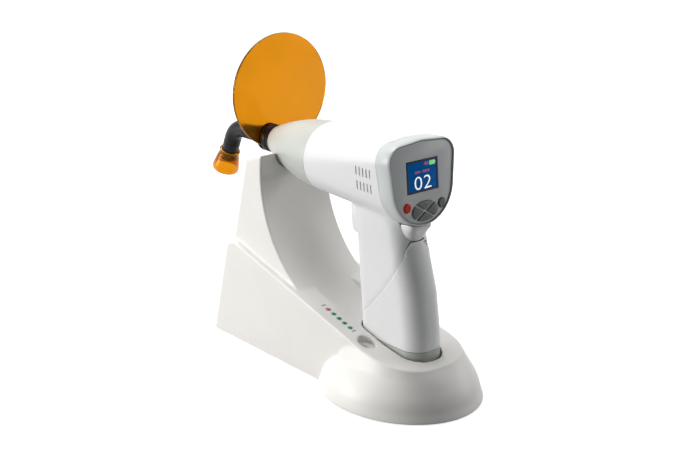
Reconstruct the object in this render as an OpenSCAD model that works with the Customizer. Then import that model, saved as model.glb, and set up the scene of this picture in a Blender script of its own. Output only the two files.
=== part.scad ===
// Cordless dental curing light resting on its charging stand.
// X runs from the light guide (negative) to the control panel (positive),
// Z is up, and Y = 0 is the plane that splits the handpiece in two halves.
// Places along X are measured from the control panel and shifted at the end
// so that the origin is at the bottom centre of the whole object.

/* [Stand] */
// Width of the rear block
block_w = 67; // [60:0.5:76]
// Width of the tower that carries the nose
tower_w = 58; // [50:0.5:64]
// Thickness of the tower at its top
tower_t = 17.5; // [13:0.5:22]
// Height of the nose axis above the front edge of the tower
cradle_h = 3; // [1:0.5:8]
// Height of the nose axis above the rear edge of the tower
cradle_rear_h = 8.5; // [5:0.5:12]
// Lean of the rear wall in degrees
back_lean = 14.9; // [8:0.1:18]
// Radius of the corner between rear wall and deck
back_r = 9; // [4:0.5:14]
// Height of the sloping deck at the handle
deck_z = 35.5; // [32:0.5:42]
// Slope of the deck in degrees
deck_slope = 15.2; // [10:0.1:18]
// Width of the sunk channel between the two rails
channel_w = 32.6; // [31:0.2:40]
// Wall of the stand's shell
stand_wall = 2.5; // [2:0.1:3.5]

/* [Round front foot] */
// Length at the table
dome_l = 116.4; // [108:0.2:130]
// Width at the table
dome_w = 99.4; // [90:0.2:110]
// Length at the shoulder
shoulder_l = 98.8; // [90:0.2:104]
// Width at the shoulder
shoulder_w = 84; // [78:0.5:88]
// Height of the shoulder
shoulder_z = 19; // [14:0.5:22]
// Reach of the top rim in front of the handle's centre
rim_reach = 40; // [36:0.5:43]
// Height of the top rim at the front
rim_z = 29.2; // [26:0.2:31]

/* [Base] */
// Height of the rubber pads
pad_h = 1.2; // [0.8:0.1:2]
// Radius of the rubber pads
pad_r = 7; // [4:0.5:9]
// Distance of the pads from the edge of the stand
pad_edge = 12; // [11:0.5:14]
// Thickness of the base plate
plate_t = 2; // [1.5:0.1:3]
// Gap between the base plate and the shell
plate_gap = 0.3; // [0.2:0.05:0.5]
// Shank radius of the base screws
base_screw_r = 1.5; // [1.2:0.1:2]
// Distance of the rear base screws from the rear wall
screw_rear = 26; // [22:1:30]
// Distance of the front base screws behind the handle's centre
screw_front = 70; // [64:1:74]
// Length of the base screws
base_screw_l = 8; // [6:0.5:12]

/* [Handle] */
// Height of the barrel axis above the foot of the handle
handle_h = 123.9; // [116:0.1:134]
// Centre of the handle's foot behind the control panel
handle_back = 18.5; // [16:0.5:22]
// Length of the handle's foot
foot_l = 52.4; // [49:0.2:54]
// Width of the handle
handle_w = 29; // [27.5:0.5:31]
// Corner radius of the handle's front
handle_r = 8; // [5:0.5:11]
// Corner radius of the handle's round back
rear_r = 13.5; // [10:0.5:13.5]
// Reach of the round back past the handle's length
rear_reach = 3; // [2:0.5:4]
// Height of the straight foot
foot_h = 27; // [24:0.5:32]
// Height of the soft cap on the foot
cap_h = 18; // [16:0.5:20]
// Length of the handle at its middle
grip_l = 50; // [47:0.5:52]
// Forward shift of the handle's middle
grip_shift = 3; // [1:0.5:4]
// Height of the handle's middle above its foot
grip_z = 54; // [48:1:60]
// Length of the handle where it meets the barrel
neck_l = 39; // [37:0.5:41]
// Forward shift of the handle where it meets the barrel
neck_shift = 14.5; // [13:0.5:16]
// Slope of the battery seam in degrees
seam_angle = 54.8; // [50:0.5:58]
// Height of the battery seam above the foot at the handle's centre
seam_z = 57.5; // [55:0.5:62]
// Wall of the handpiece shells
shell_wall = 2; // [1.6:0.1:2.4]
// Depth of the stand's well around the foot
well_depth = 17.5; // [15:0.5:20]
// Side gap between foot and well
well_gap = 1; // [0.6:0.1:1.6]

/* [Barrel] */
// Length from the bezel to the nose seam
barrel_l = 76.8; // [70:0.2:84]
// Radius at the nose seam
nose_r = 23; // [21.5:0.1:24]
// Radius in the middle of the barrel
barrel_r = 24; // [22.5:0.1:25]
// Length of the nose cone
nose_l = 56.7; // [52:0.1:62]
// Radius of the nose at its tip
nose_tip_r = 9.5; // [9.2:0.1:11]
// Fullness of the nose curve
nose_curve = 1.75; // [1.5:0.05:2]
// Distance of the front screw from the nose seam
boss_nose = 9; // [7:0.5:11]
// Drop of the front screw below the barrel axis
boss_drop = 14; // [12:0.5:15]
// Distance of the top screw behind the middle of the barrel
boss_top = 22; // [19:0.5:25]
// Rise of the top screw above the barrel axis
boss_rise = 19; // [17:0.5:19.5]
// Distance of the grip screw in front of the handle's centre
boss_grip = 15; // [13:0.5:17]
// Height of the grip screw above the foot
boss_z = 52; // [50:0.5:56]
// Radius of the shell screws
body_screw_r = 1.1; // [0.9:0.1:1.3]
// Depth of the shell screws in the left half
body_screw_l = 7; // [6:0.5:8]
// Depth of the screw heads' seat below the right half's side
head_seat = 5; // [4:0.5:6]
// Number of cooling slots in a row
vent_n = 5; // [3:1:6]
// Distance of the cooling slots behind the control panel
vent_x = 19.4; // [18:0.2:21]
// Height of the upper row of slots above the barrel axis
vent_up = 7; // [6:0.1:8]
// Distance between the two rows of slots
vent_row = 9.5; // [9:0.1:11]
// Spacing of the cooling slots
vent_pitch = 3.3; // [3:0.1:4]
// Width of a cooling slot
vent_w = 1.1; // [0.9:0.1:1.6]
// Height of a cooling slot
vent_h = 5.8; // [4:0.1:7]

/* [Control panel] */
// Depth of the bezel
bezel_d = 12; // [11:0.5:14]
// Backward tilt of the panel in degrees
panel_tilt = 5; // [0:0.5:8]
// Radius of the bezel's lower round
bezel_r = 25.8; // [25:0.1:27]
// Radius of the bezel's upper corners
bezel_corner_r = 11; // [9:0.5:13]
// Sideways place of the upper corners
bezel_corner_x = 16.7; // [15:0.1:18]
// Height of the upper corners above the barrel axis
bezel_corner_z = 16.4; // [15:0.1:18]
// Radius of the arch between the upper corners
bezel_arch_r = 24; // [20:0.5:25]
// Height of the arch's centre above the barrel axis
bezel_arch_z = 4.8; // [4:0.1:5.5]
// Width of the bezel's front rim
rim_w = 1.3; // [1:0.1:1.6]
// Width of the ledge that carries the panel
ledge_w = 0.5; // [0.3:0.1:0.8]
// Thickness of the panel
panel_t = 2; // [1.6:0.1:2.4]
// Depth of the panel below the bezel's rim
panel_sink = 0.8; // [0.4:0.1:1.2]
// Width of the display window
lcd_w = 26; // [23:0.2:28]
// Height of the display window
lcd_h = 20; // [17:0.2:22]
// Height of the display's centre above the barrel axis
lcd_up = 5.8; // [4:0.1:7]
// Radius of the power button
power_r = 2.8; // [2.2:0.1:3.1]
// Radius of the mode button
mode_r = 2.5; // [2:0.1:2.8]
// Length of the four-way key
dpad_w = 21; // [18:0.2:22]
// Height of the four-way key
dpad_h = 12.6; // [11:0.2:13.2]
// Gap between the sectors of the four-way key
dpad_gap = 0.8; // [0.6:0.1:1.2]
// Travel of the buttons
key_travel = 0.6; // [0.3:0.05:0.8]
// Height of the buttons above the panel
key_proud = 0.9; // [0.5:0.1:1.5]
// Gap around the buttons
key_gap = 0.3; // [0.2:0.05:0.4]

/* [Trigger] */
// Width of the trigger
trigger_w = 15; // [12:0.5:16]
// Length of the trigger below its pin
trigger_l = 21.5; // [18:0.5:24]
// Reach of the trigger in front of its pin
trigger_reach = 10; // [8:0.5:11]
// Radius of the trigger pin
trigger_pin_r = 1.5; // [1:0.1:2]

/* [Light guide] */
// Radius of the light guide
guide_r = 6.1; // [5.2:0.1:6.6]
// Wall of the guide's black jacket
guide_wall = 1.4; // [1:0.1:2]
// Length of the guide inside the nose
guide_in = 20; // [16:0.5:24]
// Reach of the guide from the nose to the corner of its bend
guide_reach = 49.5; // [42:0.5:56]
// Bend of the guide in degrees
guide_angle = 66; // [45:1:75]
// Radius of the bend
bend_r = 15; // [12:0.5:18]
// Length of the guide past the bend
guide_end_l = 17; // [14:0.5:22]
// Running gap between guide and nose
guide_gap = 0.05; // [0.02:0.01:0.1]

/* [Tip cone] */
// Length of the tip cone
cone_l = 16.3; // [14:0.1:20]
// Outer radius at its top
cone_top_r = 7.2; // [7:0.1:7.8]
// Outer radius at its rim
cone_rim_r = 9.9; // [9:0.1:11]
// Length of the guide that the cone covers
cone_lap = 6.5; // [5.5:0.1:8]
// Wall of the cone
cone_wall = 0.9; // [0.7:0.1:1.1]

/* [Light shield] */
// Radius of the shield disc
disc_r = 40; // [34:0.5:42]
// Distance from the guide's axis to the disc's centre
disc_offset = 33; // [27:0.5:34]
// Thickness of the disc
disc_t = 2.2; // [1.6:0.1:2.6]
// Swivel of the disc at rest in degrees
disc_swivel = 17; // [0:1:17]
// Radius of the hub
hub_r = 9.8; // [9.6:0.1:11]
// Length of the hub in front of the disc
hub_l = 7.8; // [7:0.1:9]
// Thickness of the clamp ring behind the disc
clamp_t = 1.8; // [1.4:0.1:2.4]

/* [Charging] */
// Radius of the charge pins
pin_r = 1.2; // [0.9:0.1:1.5]
// Distance between the charge pins
pin_span = 16; // [12:0.5:20]
// Travel of the charge pins
pin_travel = 1; // [0.6:0.1:1.4]
// Radius of the contact pads
contact_r = 4; // [3:0.1:5]
// Radius of the power inlet's bore
inlet_r = 2.9; // [2.7:0.05:3.2]
// Radius of the indicator lights
light_r = 1.4; // [1:0.1:1.8]
// Distance of the first indicator light behind the handle's centre
light_back = 44.4; // [42:0.2:46]
// Spacing of the indicator lights
light_pitch = 5.5; // [4.5:0.1:6]
// Length of the light meter's oval recess
meter_l = 14; // [12:0.5:16]
// Width of the light meter's oval recess
meter_w = 10; // [9:0.5:11]
// Distance of the light meter behind the handle's centre
meter_back = 6; // [4:0.5:8]
// Depth of the light meter's recess
meter_d = 4.6; // [4.4:0.1:5.5]

/* [Inside] */
// Radius of the battery cell
cell_r = 9; // [8:0.1:9.2]
// Length of the battery cell
cell_l = 49.8; // [44:0.2:50]
// Thickness of the circuit boards
board_t = 1.6; // [1.2:0.1:2]
// Number of fan blades
blade_n = 7; // [5:1:9]
// Number of cooling fins
fin_n = 6; // [4:1:8]
// Heat sink ahead of the seam's reference plane
sink_back = 22; // [21:0.5:23]
// Main board behind the trigger's pivot
main_board_back = 10.5; // [10:0.1:11]
// Stand board's middle ahead of the handle's middle
board_back = 4; // [3:0.5:5]

/* [Hidden] */
$fn = 64;

thin = 0.05;        // thickness of a hull slice
cut = 1;            // overshoot of a cut past the face it opens
far = 400;          // size of a half space
seat = 0.1;         // gap under a piece that rests
fit = 0.3;          // gap beside a piece that is held
press = 0.02;       // gap of a pressed pin
split = 0.1;        // half of the gap between the shell halves
hull_fn = 32;       // facets of rounded hull corners

// Heights
shell_z = pad_h;
plate_z = shell_z + plate_gap;
plate_top = plate_z + plate_t;
board_z = plate_top + 5;
well_z = deck_z - well_depth;
foot_z = well_z + seat;
axis_z = foot_z + handle_h;

// Places along X, from the control panel
handle_x = -handle_back;
seam_x = -(bezel_d + barrel_l);
tip_x = seam_x - nose_l;
mid_x = seam_x + 0.4 * barrel_l;
tower_front_x = tip_x + tower_t;
foot_front_x = handle_x - foot_l / 2;
tower_rear_z = axis_z - cradle_rear_h;
tower_top_z = axis_z - cradle_h;
function deck(x) = deck_z - tan(deck_slope) * (x - handle_x);
function back(z) = tip_x - tan(back_lean) * (tower_rear_z - z);

// Concave front of the tower, an arc that runs out into the deck
scoop_r = foot_front_x - tower_front_x;
scoop_z = deck(foot_front_x) + scoop_r - 0.3;

// Corner where the rear wall meets the deck
corner_x = (tip_x - tan(back_lean) * (tower_rear_z - deck_z - tan(deck_slope) * handle_x))
  / (1 + tan(back_lean) * tan(deck_slope));
corner = [corner_x, deck(corner_x)];
deck_n = [sin(deck_slope), cos(deck_slope)];
back_n = [-cos(back_lean), sin(back_lean)];
corner_c = corner - back_r * (deck_n + back_n) / (1 + deck_n * back_n);

// Light guide
bend_run = bend_r * tan(guide_angle / 2);
corner_guide_x = tip_x - guide_reach;
bend_x = corner_guide_x + bend_run;
tip_dir = [-cos(guide_angle), 0, -sin(guide_angle)];
bend_end = [corner_guide_x, 0, axis_z] + bend_run * tip_dir;
cone_start = bend_end + (guide_end_l - cone_lap) * tip_dir;
cone_bore = 4;
core_r = guide_r - guide_wall;

// Whole object along X
x_low = (cone_start + cone_l * tip_dir)[0] - cone_rim_r * sin(guide_angle);
x_high = handle_x + dome_l / 2;
frame_x = -(x_low + x_high) / 2;

// Shield and hub
spigot_r = nose_tip_r - 1.5;
spigot_l = 6;
hub_x = tip_x - fit;
hub_turn = 0.06;    // running gap between hub and spigot
disc_x = hub_x - hub_l;
hub_seat_r = guide_r + 1.3;
hub_bore = guide_r + 0.4;

// Nose inside
function barrel_at(x) = nose_r + (barrel_r - nose_r) * (x - seam_x) / (mid_x - seam_x);
function nose_at(x) = nose_r - (nose_r - nose_tip_r) * pow((x - seam_x) / (tip_x - seam_x), nose_curve);
socket_x = tip_x + guide_in;
socket_r = guide_r + guide_gap;
sleeve_r = guide_r + 2.2;
nose_solid = 12;
sink_t = 3;
nose_run = nose_l + 40;
latch_slot = 17;
well_back = 1.2;
inlet_clear = 4;
sink_x = seam_x - sink_back;
sink_r = nose_at(sink_x - sink_t) - shell_wall - fit;
emitter_t = 1.2;
emitter_x = sink_x - sink_t - emitter_t;

// Panel stack, measured outwards from the bezel's front rim
panel_top = -panel_sink;
panel_back = panel_top - panel_t;
key_board_top = -8;
key_foot = panel_back - 0.5;
switch_top = key_foot - key_travel - 0.1;
power_at = [-14.2, -12.2];
mode_at = [15, -13.8];
dpad_at = [0.8, -16.3];
dpad_step = [7.2, 4.3];
key_places = [
  power_at, mode_at, dpad_at + [0, dpad_step[1]], dpad_at - [0, dpad_step[1]],
  dpad_at - [dpad_step[0], 0], dpad_at + [dpad_step[0], 0]
];

// Trigger
trigger_x = tip_x + nose_l + 0.505 * barrel_l;
trigger_z = axis_z - barrel_r + 3;
trigger_gap = 0.6;
trigger_rear = 0.3;
trigger_press = 8;
spring_drop = 9;
switch_drop = 18;
main_board_x = trigger_x + main_board_back;

// Battery
cap_top = foot_z + cap_h;
cell_x = handle_x + cell_r;
cell_z = foot_z + shell_wall + seat + 0.2;

// Fan
fan_d = 8;
fan_x = mid_x - fan_d;
fan_r = barrel_at(fan_x - fan_d / 2) - shell_wall - fit;
fan_rear_x = fan_x + fan_d / 2;
fan_hub_r = 7;
fan_rim = 1.6;
fan_web = 1.5;
fan_axle_r = 1.2;

// Deck fittings on the near rail
rail_y = -(block_w / 2 + channel_w / 2) / 2 + 1.2;
light_x = handle_x - light_back;
meter_x = handle_x - meter_back;
light_board_drop = 8.4;
light_board_over = 24;
meter_glass_t = 1.2;

// Screws and boards
board_x = handle_x - board_back;
board_l = 72;
board_w = 44;
post_r = base_screw_r + 2;
post_y = block_w / 2 - stand_wall - post_r + 0.3;
base_screw_at = [for (x = [back(shell_z) + screw_rear, handle_x - screw_front], s = [-1, 1]) [x, s * post_y]];
pad_at = [
  for (s = [-1, 1]) each
    [[back(shell_z) + pad_edge + 2, s * (block_w / 2 - pad_edge)], [handle_x, s * (dome_w / 2 - pad_edge)]]
];
board_screw_at = [
  for (sx = [-1, 1], sy = [-1, 1]) [board_x + (board_l / 2 - 6) * sx, (board_w / 2 - 4) * sy]
];
body_screw_at = [
  [seam_x + boss_nose, axis_z - boss_drop], [mid_x + boss_top, axis_z + boss_rise],
  [handle_x - boss_grip, foot_z + boss_z]
];

// Charge contacts and power inlet
board_top = board_z + board_t;
chamber_r = pin_r + 0.9;
block_top = well_z - stand_wall - seat;
pin_flange_h = 0.8;
pin_flange_z = board_top + pin_travel + 1.6;
inlet_h = 11;
inlet_w = 10;
inlet_l = 14;
inlet_z = plate_top + inlet_h / 2;
inlet_wall = stand_wall / cos(back_lean);

// Battery latch
latch_w = 22;
latch_l = 12;
latch_h = 10;
latch_top = axis_z - bezel_r - 0.9;
latch_x = handle_x - neck_shift + neck_l / 2 + rear_reach + 2.4;

module at_frame() {
  translate([frame_x, 0, 0]) children();
}

// Extrudes a side view drawn in X and Z to a width along Y
module side_prism(w) {
  rotate([90, 0, 0]) linear_extrude(w, center = true) children();
}

// Cylinder along Y
module y_rod(r, x, z, y0, y1) {
  translate([x, y0, z]) rotate([-90, 0, 0]) cylinder(r = r, h = y1 - y0);
}

// Cylinder along -X from x0
module x_rod(r, x0, l, r2 = undef) {
  translate([x0, 0, axis_z]) rotate([0, -90, 0]) cylinder(r1 = r, r2 = is_undef(r2) ? r : r2, h = l);
}

// Turns a profile of [radius, distance ahead of x0] about the barrel axis
module x_spin(x0) {
  translate([x0, 0, axis_z]) rotate([0, -90, 0]) rotate_extrude() children();
}

// Panel coordinates: X sideways, Y up the panel, Z out of the panel
module on_panel() {
  translate([0, 0, axis_z]) rotate([0, 90 - panel_tilt, 0]) rotate([0, 0, 90]) children();
}

// Deck coordinates at a point: X down the slope, Z out of the deck
module on_deck(x, y) {
  translate([x, y, deck(x)]) rotate([0, deck_slope, 0]) children();
}

module oval(l, w, h) {
  scale([l / w, 1, 1]) cylinder(r = w / 2, h = h);
}

// Rectangular half space below the battery seam, lowered by g
module below_seam(g) {
  translate([handle_x, 0, foot_z + seam_z]) rotate([0, -seam_angle, 0])
    translate([-far / 2, -far / 2, -far - g]) cube([far, far, far]);
}

// Outline of the bezel, grown by g
module bezel_outline(g) {
  hull() {
    circle(r = bezel_r + g);
    translate([0, bezel_arch_z]) circle(r = bezel_arch_r + g);
    for (s = [-1, 1])
      translate([s * bezel_corner_x, bezel_corner_z]) circle(r = bezel_corner_r + g);
  }
}

// Barrel from the nose seam to the bezel, grown by g and lengthened by e
module barrel(g, e) {
  hull() {
    x_rod(nose_r + g, seam_x - e + thin, thin);
    x_rod(barrel_r + g, mid_x, thin);
    on_panel() translate([0, 0, -bezel_d + e - thin]) linear_extrude(thin) bezel_outline(g);
  }
}

// One level of the handle for a hull, grown by g
module handle_slice(x, z, l, g) {
  for (sy = [-1, 1]) {
    translate([x - l / 2 + handle_r, sy * (handle_w / 2 - handle_r), z])
      cylinder(r = handle_r + g, h = thin, $fn = hull_fn);
    translate([x + l / 2 + rear_reach - rear_r, sy * (handle_w / 2 - rear_r), z])
      cylinder(r = rear_r + g, h = thin, $fn = hull_fn);
  }
}

// Straight block with the plan of the handle over a length l, grown by g
module handle_block(l, g, h) {
  front_x = handle_r - l / 2;
  rear_x = l / 2 + rear_reach - rear_r;
  front_y = handle_w / 2 - handle_r;
  rear_y = handle_w / 2 - rear_r;
  translate([front_x, -handle_w / 2 - g, 0]) cube([rear_x - front_x, handle_w + 2 * g, h]);
  translate([-l / 2 - g, -front_y, 0]) cube([l / 2, 2 * front_y, h]);
  translate([0, -rear_y, 0]) cube([l / 2 + rear_reach + g, 2 * rear_y, h]);
  for (sy = [-1, 1]) {
    translate([front_x, sy * front_y, 0]) cylinder(r = handle_r + g, h = h);
    translate([rear_x, sy * rear_y, 0]) cylinder(r = rear_r + g, h = h);
  }
}

// Space that the bezel takes in front of the barrel's end
module bezel_zone() {
  on_panel() translate([0, 0, -bezel_d]) linear_extrude(bezel_d + cut) bezel_outline(fit);
}

// Handle from its foot into the barrel, grown by g and lengthened by e
module handle(g, e) {
  translate([handle_x, 0, foot_z - e]) handle_block(foot_l, g, foot_h + e + thin);
  hull() {
    handle_slice(handle_x, foot_z + foot_h, foot_l, g);
    handle_slice(handle_x - grip_shift, foot_z + grip_z, grip_l, g);
    handle_slice(handle_x - neck_shift, axis_z - barrel_r + 8 + e, neck_l, g);
  }
}

// Helical wire along +Z from z = 0
module coil(r, wire, l, turns) {
  sides = 6;
  per_turn = 14;
  n = turns * per_turn;
  pts = [
    for (i = [0:n], k = [0:sides - 1])
      let (a = 360 * i / per_turn, b = 360 * k / sides, rr = r + wire * cos(b))
      [rr * cos(a), rr * sin(a), wire + (l - 2 * wire) * i / n + wire * sin(b)]
  ];
  sides_of = [
    for (i = [0:n - 1], k = [0:sides - 1])
      let (a = i * sides + k, b = i * sides + (k + 1) % sides)
      [a, a + sides, b + sides, b]
  ];
  ends = [[for (k = [0:sides - 1]) k], [for (k = [sides - 1:-1:0]) n * sides + k]];
  polyhedron(pts, concat(sides_of, ends), convexity = 6);
}

// Stand

module block_solid(g) {
  top = [handle_x + 5, deck(handle_x + 5)];
  deck_t = corner_c + (back_r - g) * deck_n;
  back_t = corner_c + (back_r - g) * back_n;
  difference() {
    union() {
      side_prism(block_w - 2 * g)
        polygon([
          [back(shell_z) + g / cos(back_lean), shell_z - (g > 0 ? cut : 0)], back_t, deck_t,
          top - [0, g / cos(deck_slope)], [top[0], shell_z - (g > 0 ? cut : 0)]
        ]);
      y_rod(back_r - g, corner_c[0], corner_c[1], -block_w / 2 + g, block_w / 2 - g);
    }
    y_rod(scoop_r + g, foot_front_x, scoop_z, -channel_w / 2 - g, channel_w / 2 + g);
  }
}

module tower_solid(g, top_g) {
  low = deck_z;
  inset = 1.5 + g;
  difference() {
    side_prism(tower_w - 2 * g)
      polygon([
        [back(low) + inset, low], [back(tower_rear_z - top_g) + inset, tower_rear_z - top_g],
        [tower_front_x + 3, tower_top_z - top_g], [foot_front_x, tower_top_z - top_g],
        [foot_front_x, low]
      ]);
    y_rod(scoop_r + g, foot_front_x, scoop_z, -block_w, block_w);
  }
}

// Oval outline that is fuller than an ellipse when n is over 2
module full_oval(a, b, n) {
  points = 56;
  function share(v) = sign(v) * pow(abs(v), 2 / n);
  polygon([for (i = [0:points - 1]) let (t = 360 * i / points) [a * share(cos(t)), b * share(sin(t))]]);
}

// Level of the round front foot for a hull
module dome_slice(l, w, z, n) {
  translate([handle_x, 0, z]) linear_extrude(thin) full_oval(l / 2, w / 2, n);
}

module dome_solid(g) {
  rise = atan((deck_z - rim_z) / rim_reach);
  hull() {
    dome_slice(dome_l - 2 * g, dome_w - 2 * g, shell_z - (g > 0 ? cut : 0), 2);
    dome_slice(dome_l - 1.2 - 2 * g, dome_w - 1.2 - 2 * g, shell_z + 3, 2);
    dome_slice(shoulder_l - 2 * g, shoulder_w - 2 * g, shoulder_z - g, 2.1);
    translate([handle_x, 0, deck_z - g]) rotate([0, rise, 0]) translate([0, 0, -thin])
      linear_extrude(thin) full_oval(rim_reach / cos(rise) - g, block_w / 2 - 0.3 - g, 2.6);
  }
}

// Nose outline turned about its axis, grown by g, for the cradle
module nose_cut(g) {
  n = 10;
  x_spin(seam_x)
    polygon(concat(
      [[0, 0]],
      [for (i = [0:n]) let (x = seam_x - nose_l * i / n) [max(nose_at(x), hub_r) + g, seam_x - x]],
      [[hub_r + g, nose_run], [0, nose_run]]
    ));
}

module well(g, z, h) {
  translate([handle_x + well_back / 2, 0, z]) handle_block(foot_l + well_back, well_gap + g, h);
}

module meter_pocket(g, d) {
  on_deck(meter_x, rail_y) translate([0, 0, -d]) oval(meter_l + 2 * g, meter_w + 2 * g, d + cut);
}

module light_holes(r, d) {
  for (i = [0:4])
    on_deck(light_x + i * light_pitch, rail_y) translate([0, 0, -d]) cylinder(r = r, h = d + cut, $fn = 32);
}

module inlet_hole(r, l) {
  translate([back(inlet_z) - cut, 0, inlet_z]) rotate([0, 90, 0]) cylinder(r = r, h = l + cut);
}

module base_posts(r, z, h) {
  for (p = base_screw_at) translate([p[0], p[1], z]) cylinder(r = r, h = h, $fn = 32);
}

module stand_shell() {
  post_h = base_screw_l + 4;
  color("oldlace") at_frame() difference() {
    union() {
      block_solid(0);
      tower_solid(0, 0);
      dome_solid(0);
    }
    difference() {
      union() {
        block_solid(stand_wall);
        tower_solid(stand_wall, nose_at(tower_front_x) + 2 * stand_wall - cradle_h);
        dome_solid(stand_wall);
      }
      well(stand_wall, well_z - stand_wall, far);
      meter_pocket(1.5, meter_d + meter_glass_t + 1.5);
      base_posts(post_r, plate_top, post_h);
    }
    well(0, well_z, far);
    nose_cut(0.4);
    meter_pocket(0, meter_d + meter_glass_t);
    on_deck(meter_x, rail_y) translate([0, 0, -meter_d - 4]) cylinder(r = 3, h = 4);
    light_holes(light_r + 0.1, stand_wall + 2);
    inlet_hole(inlet_r + 1.3, stand_wall * 3);
    base_posts(base_screw_r - 0.1, plate_top - cut, base_screw_l);
    for (s = [-1, 1])
      translate([handle_x + s * pin_span / 2, 0, well_z - stand_wall - cut])
        cylinder(r = pin_r + 0.3, h = stand_wall + 2 * cut, $fn = 32);
  }
}

module plate_outline(g, h) {
  translate([handle_x, 0, 0]) scale([dome_l / 2 - g, dome_w / 2 - g, 1]) cylinder(r = 1, h = h);
  x0 = back(shell_z + plate_top) + g;
  translate([x0, -block_w / 2 + g, 0]) cube([handle_x - x0, block_w - 2 * g, h]);
}

module base_plate() {
  inset = stand_wall + plate_gap;
  color("gainsboro") at_frame() difference() {
    union() {
      translate([0, 0, plate_z]) plate_outline(inset + 0.6, plate_t);
      for (p = board_screw_at)
        translate([p[0], p[1], plate_top - thin]) cylinder(r = 3, h = board_z - plate_top + thin, $fn = 32);
    }
    base_posts(base_screw_r + 0.2, 0, far);
    for (p = base_screw_at)
      translate([p[0], p[1], plate_z])
        cylinder(r1 = base_screw_r * 2 + 0.1, r2 = base_screw_r, h = base_screw_r);
    for (p = board_screw_at)
      translate([p[0], p[1], plate_top + 0.5]) cylinder(r = 0.9, h = far, $fn = 32);
  }
}

module rubber_feet() {
  color("dimgray") at_frame() for (p = pad_at)
    translate([p[0], p[1], 0]) cylinder(r = pad_r, h = plate_z, $fn = 48);
}

module base_screws() {
  color("silver") at_frame() for (p = base_screw_at) translate([p[0], p[1], plate_z]) {
    cylinder(r1 = base_screw_r * 2 - 0.1, r2 = base_screw_r - 0.2, h = base_screw_r, $fn = 32);
    cylinder(r = base_screw_r - 0.15, h = base_screw_l, $fn = 32);
  }
}

module charger_board() {
  color("seagreen") at_frame() difference() {
    translate([board_x - board_l / 2, -board_w / 2, board_z]) cube([board_l, board_w, board_t]);
    for (p = board_screw_at)
      translate([p[0], p[1], board_z - cut]) cylinder(r = 1.1, h = 2 * cut + board_t, $fn = 32);
  }
}

module board_screws() {
  color("silver") at_frame() for (p = board_screw_at) translate([p[0], p[1], board_z + board_t]) {
    cylinder(r = 2, h = 1.2, $fn = 32);
    translate([0, 0, -board_t - 3]) cylinder(r = 0.85, h = board_t + 3.5, $fn = 32);
  }
}

module contact_block() {
  w = 12;
  end = 5;
  color("darkslategray") at_frame() difference() {
    translate([handle_x - pin_span / 2 - end, -w / 2, board_top])
      cube([pin_span + 2 * end, w, block_top - board_top]);
    for (s = [-1, 1]) translate([handle_x + s * pin_span / 2, 0, board_top - cut]) {
      cylinder(r = chamber_r, h = pin_flange_z + pin_flange_h + seat - board_top + cut);
      cylinder(r = pin_r + 0.06, h = far);
    }
  }
}

module charge_pin(s) {
  color("gold") at_frame() translate([handle_x + s * pin_span / 2, 0, 0]) {
    translate([0, 0, pin_flange_z]) cylinder(r = chamber_r - 0.2, h = pin_flange_h);
    translate([0, 0, pin_flange_z]) cylinder(r = pin_r, h = foot_z - seat - pin_flange_z);
  }
}
module charge_pin_front() { charge_pin(1); }
module charge_pin_rear() { charge_pin(-1); }

module charge_spring(s) {
  color("silver") at_frame() translate([handle_x + s * pin_span / 2, 0, board_top + press])
    coil(chamber_r - 0.5, 0.18, pin_flange_z - board_top - 2 * press, 4);
}
module charge_spring_front() { charge_spring(1); }
module charge_spring_rear() { charge_spring(-1); }

module inlet_housing() {
  x0 = back(inlet_z) + inlet_wall + 2;
  color("dimgray") at_frame() difference() {
    union() {
      translate([x0, -inlet_w / 2, plate_top + press]) cube([inlet_l, inlet_w, inlet_h]);
      translate([back(inlet_z) + 1.6, 0, inlet_z]) rotate([0, 90, 0])
        cylinder(r = inlet_r + 1, h = x0 - back(inlet_z));
    }
    inlet_hole(inlet_r, x0 - back(inlet_z) + inlet_l - 3);
  }
}

module inlet_pin() {
  x1 = back(inlet_z) + inlet_wall + inlet_l - 1;
  x0 = back(inlet_z) + inlet_clear;
  color("silver") at_frame() translate([x0, 0, inlet_z]) rotate([0, 90, 0])
    cylinder(r = 1.05, h = x1 - x0, $fn = 32);
}

module light_board() {
  l = meter_x - light_x + light_board_over;
  out = block_w / 2 - stand_wall - fit + rail_y;
  in = 5.5;
  color("seagreen") at_frame() on_deck((meter_x + light_x) / 2, rail_y)
    translate([-l / 2, -out, -light_board_drop - board_t]) cube([l, out + in, board_t]);
}

module light_pipe(i) {
  on_deck(light_x + i * light_pitch, rail_y) translate([0, 0, -light_board_drop])
    cylinder(r = light_r, h = light_board_drop, $fn = 32);
}
module red_light() { color("firebrick") at_frame() light_pipe(0); }
module green_lights() { color("limegreen") at_frame() for (i = [1:4]) light_pipe(i); }

module meter_window() {
  color("slategray") at_frame() on_deck(meter_x, rail_y) translate([0, 0, -meter_d - meter_glass_t])
    oval(meter_l - 2 * seat, meter_w - 2 * seat, meter_glass_t);
}

module meter_sensor() {
  s = 4;
  h = light_board_drop - meter_d - meter_glass_t - 0.2;
  color("darkslategray") at_frame() on_deck(meter_x, rail_y)
    translate([-s / 2, -s / 2, -light_board_drop]) cube([s, s, h]);
}

// Handpiece

module vent_slots() {
  d = 20;
  for (i = [0:vent_n - 1], s = [-1, 1], row = [vent_up, vent_up - vent_row])
    translate([-vent_x - i * vent_pitch - vent_w, s * bezel_r * 0.95 - d / 2, axis_z + row - vent_h / 2])
      cube([vent_w, d, vent_h]);
}

module trigger_slot() {
  w = trigger_w + 2 * trigger_gap;
  translate([trigger_x - trigger_reach - 1, -w / 2, trigger_z - trigger_l - 0.8])
    cube([trigger_reach + 7, w, trigger_l + 5]);
}

module latch_window() {
  g = 0.4;
  translate([latch_x - latch_slot / 2, -latch_w / 2 - g, latch_top - latch_h - g])
    cube([latch_slot, latch_w + 2 * g, latch_h + 2 * g]);
}

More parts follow.
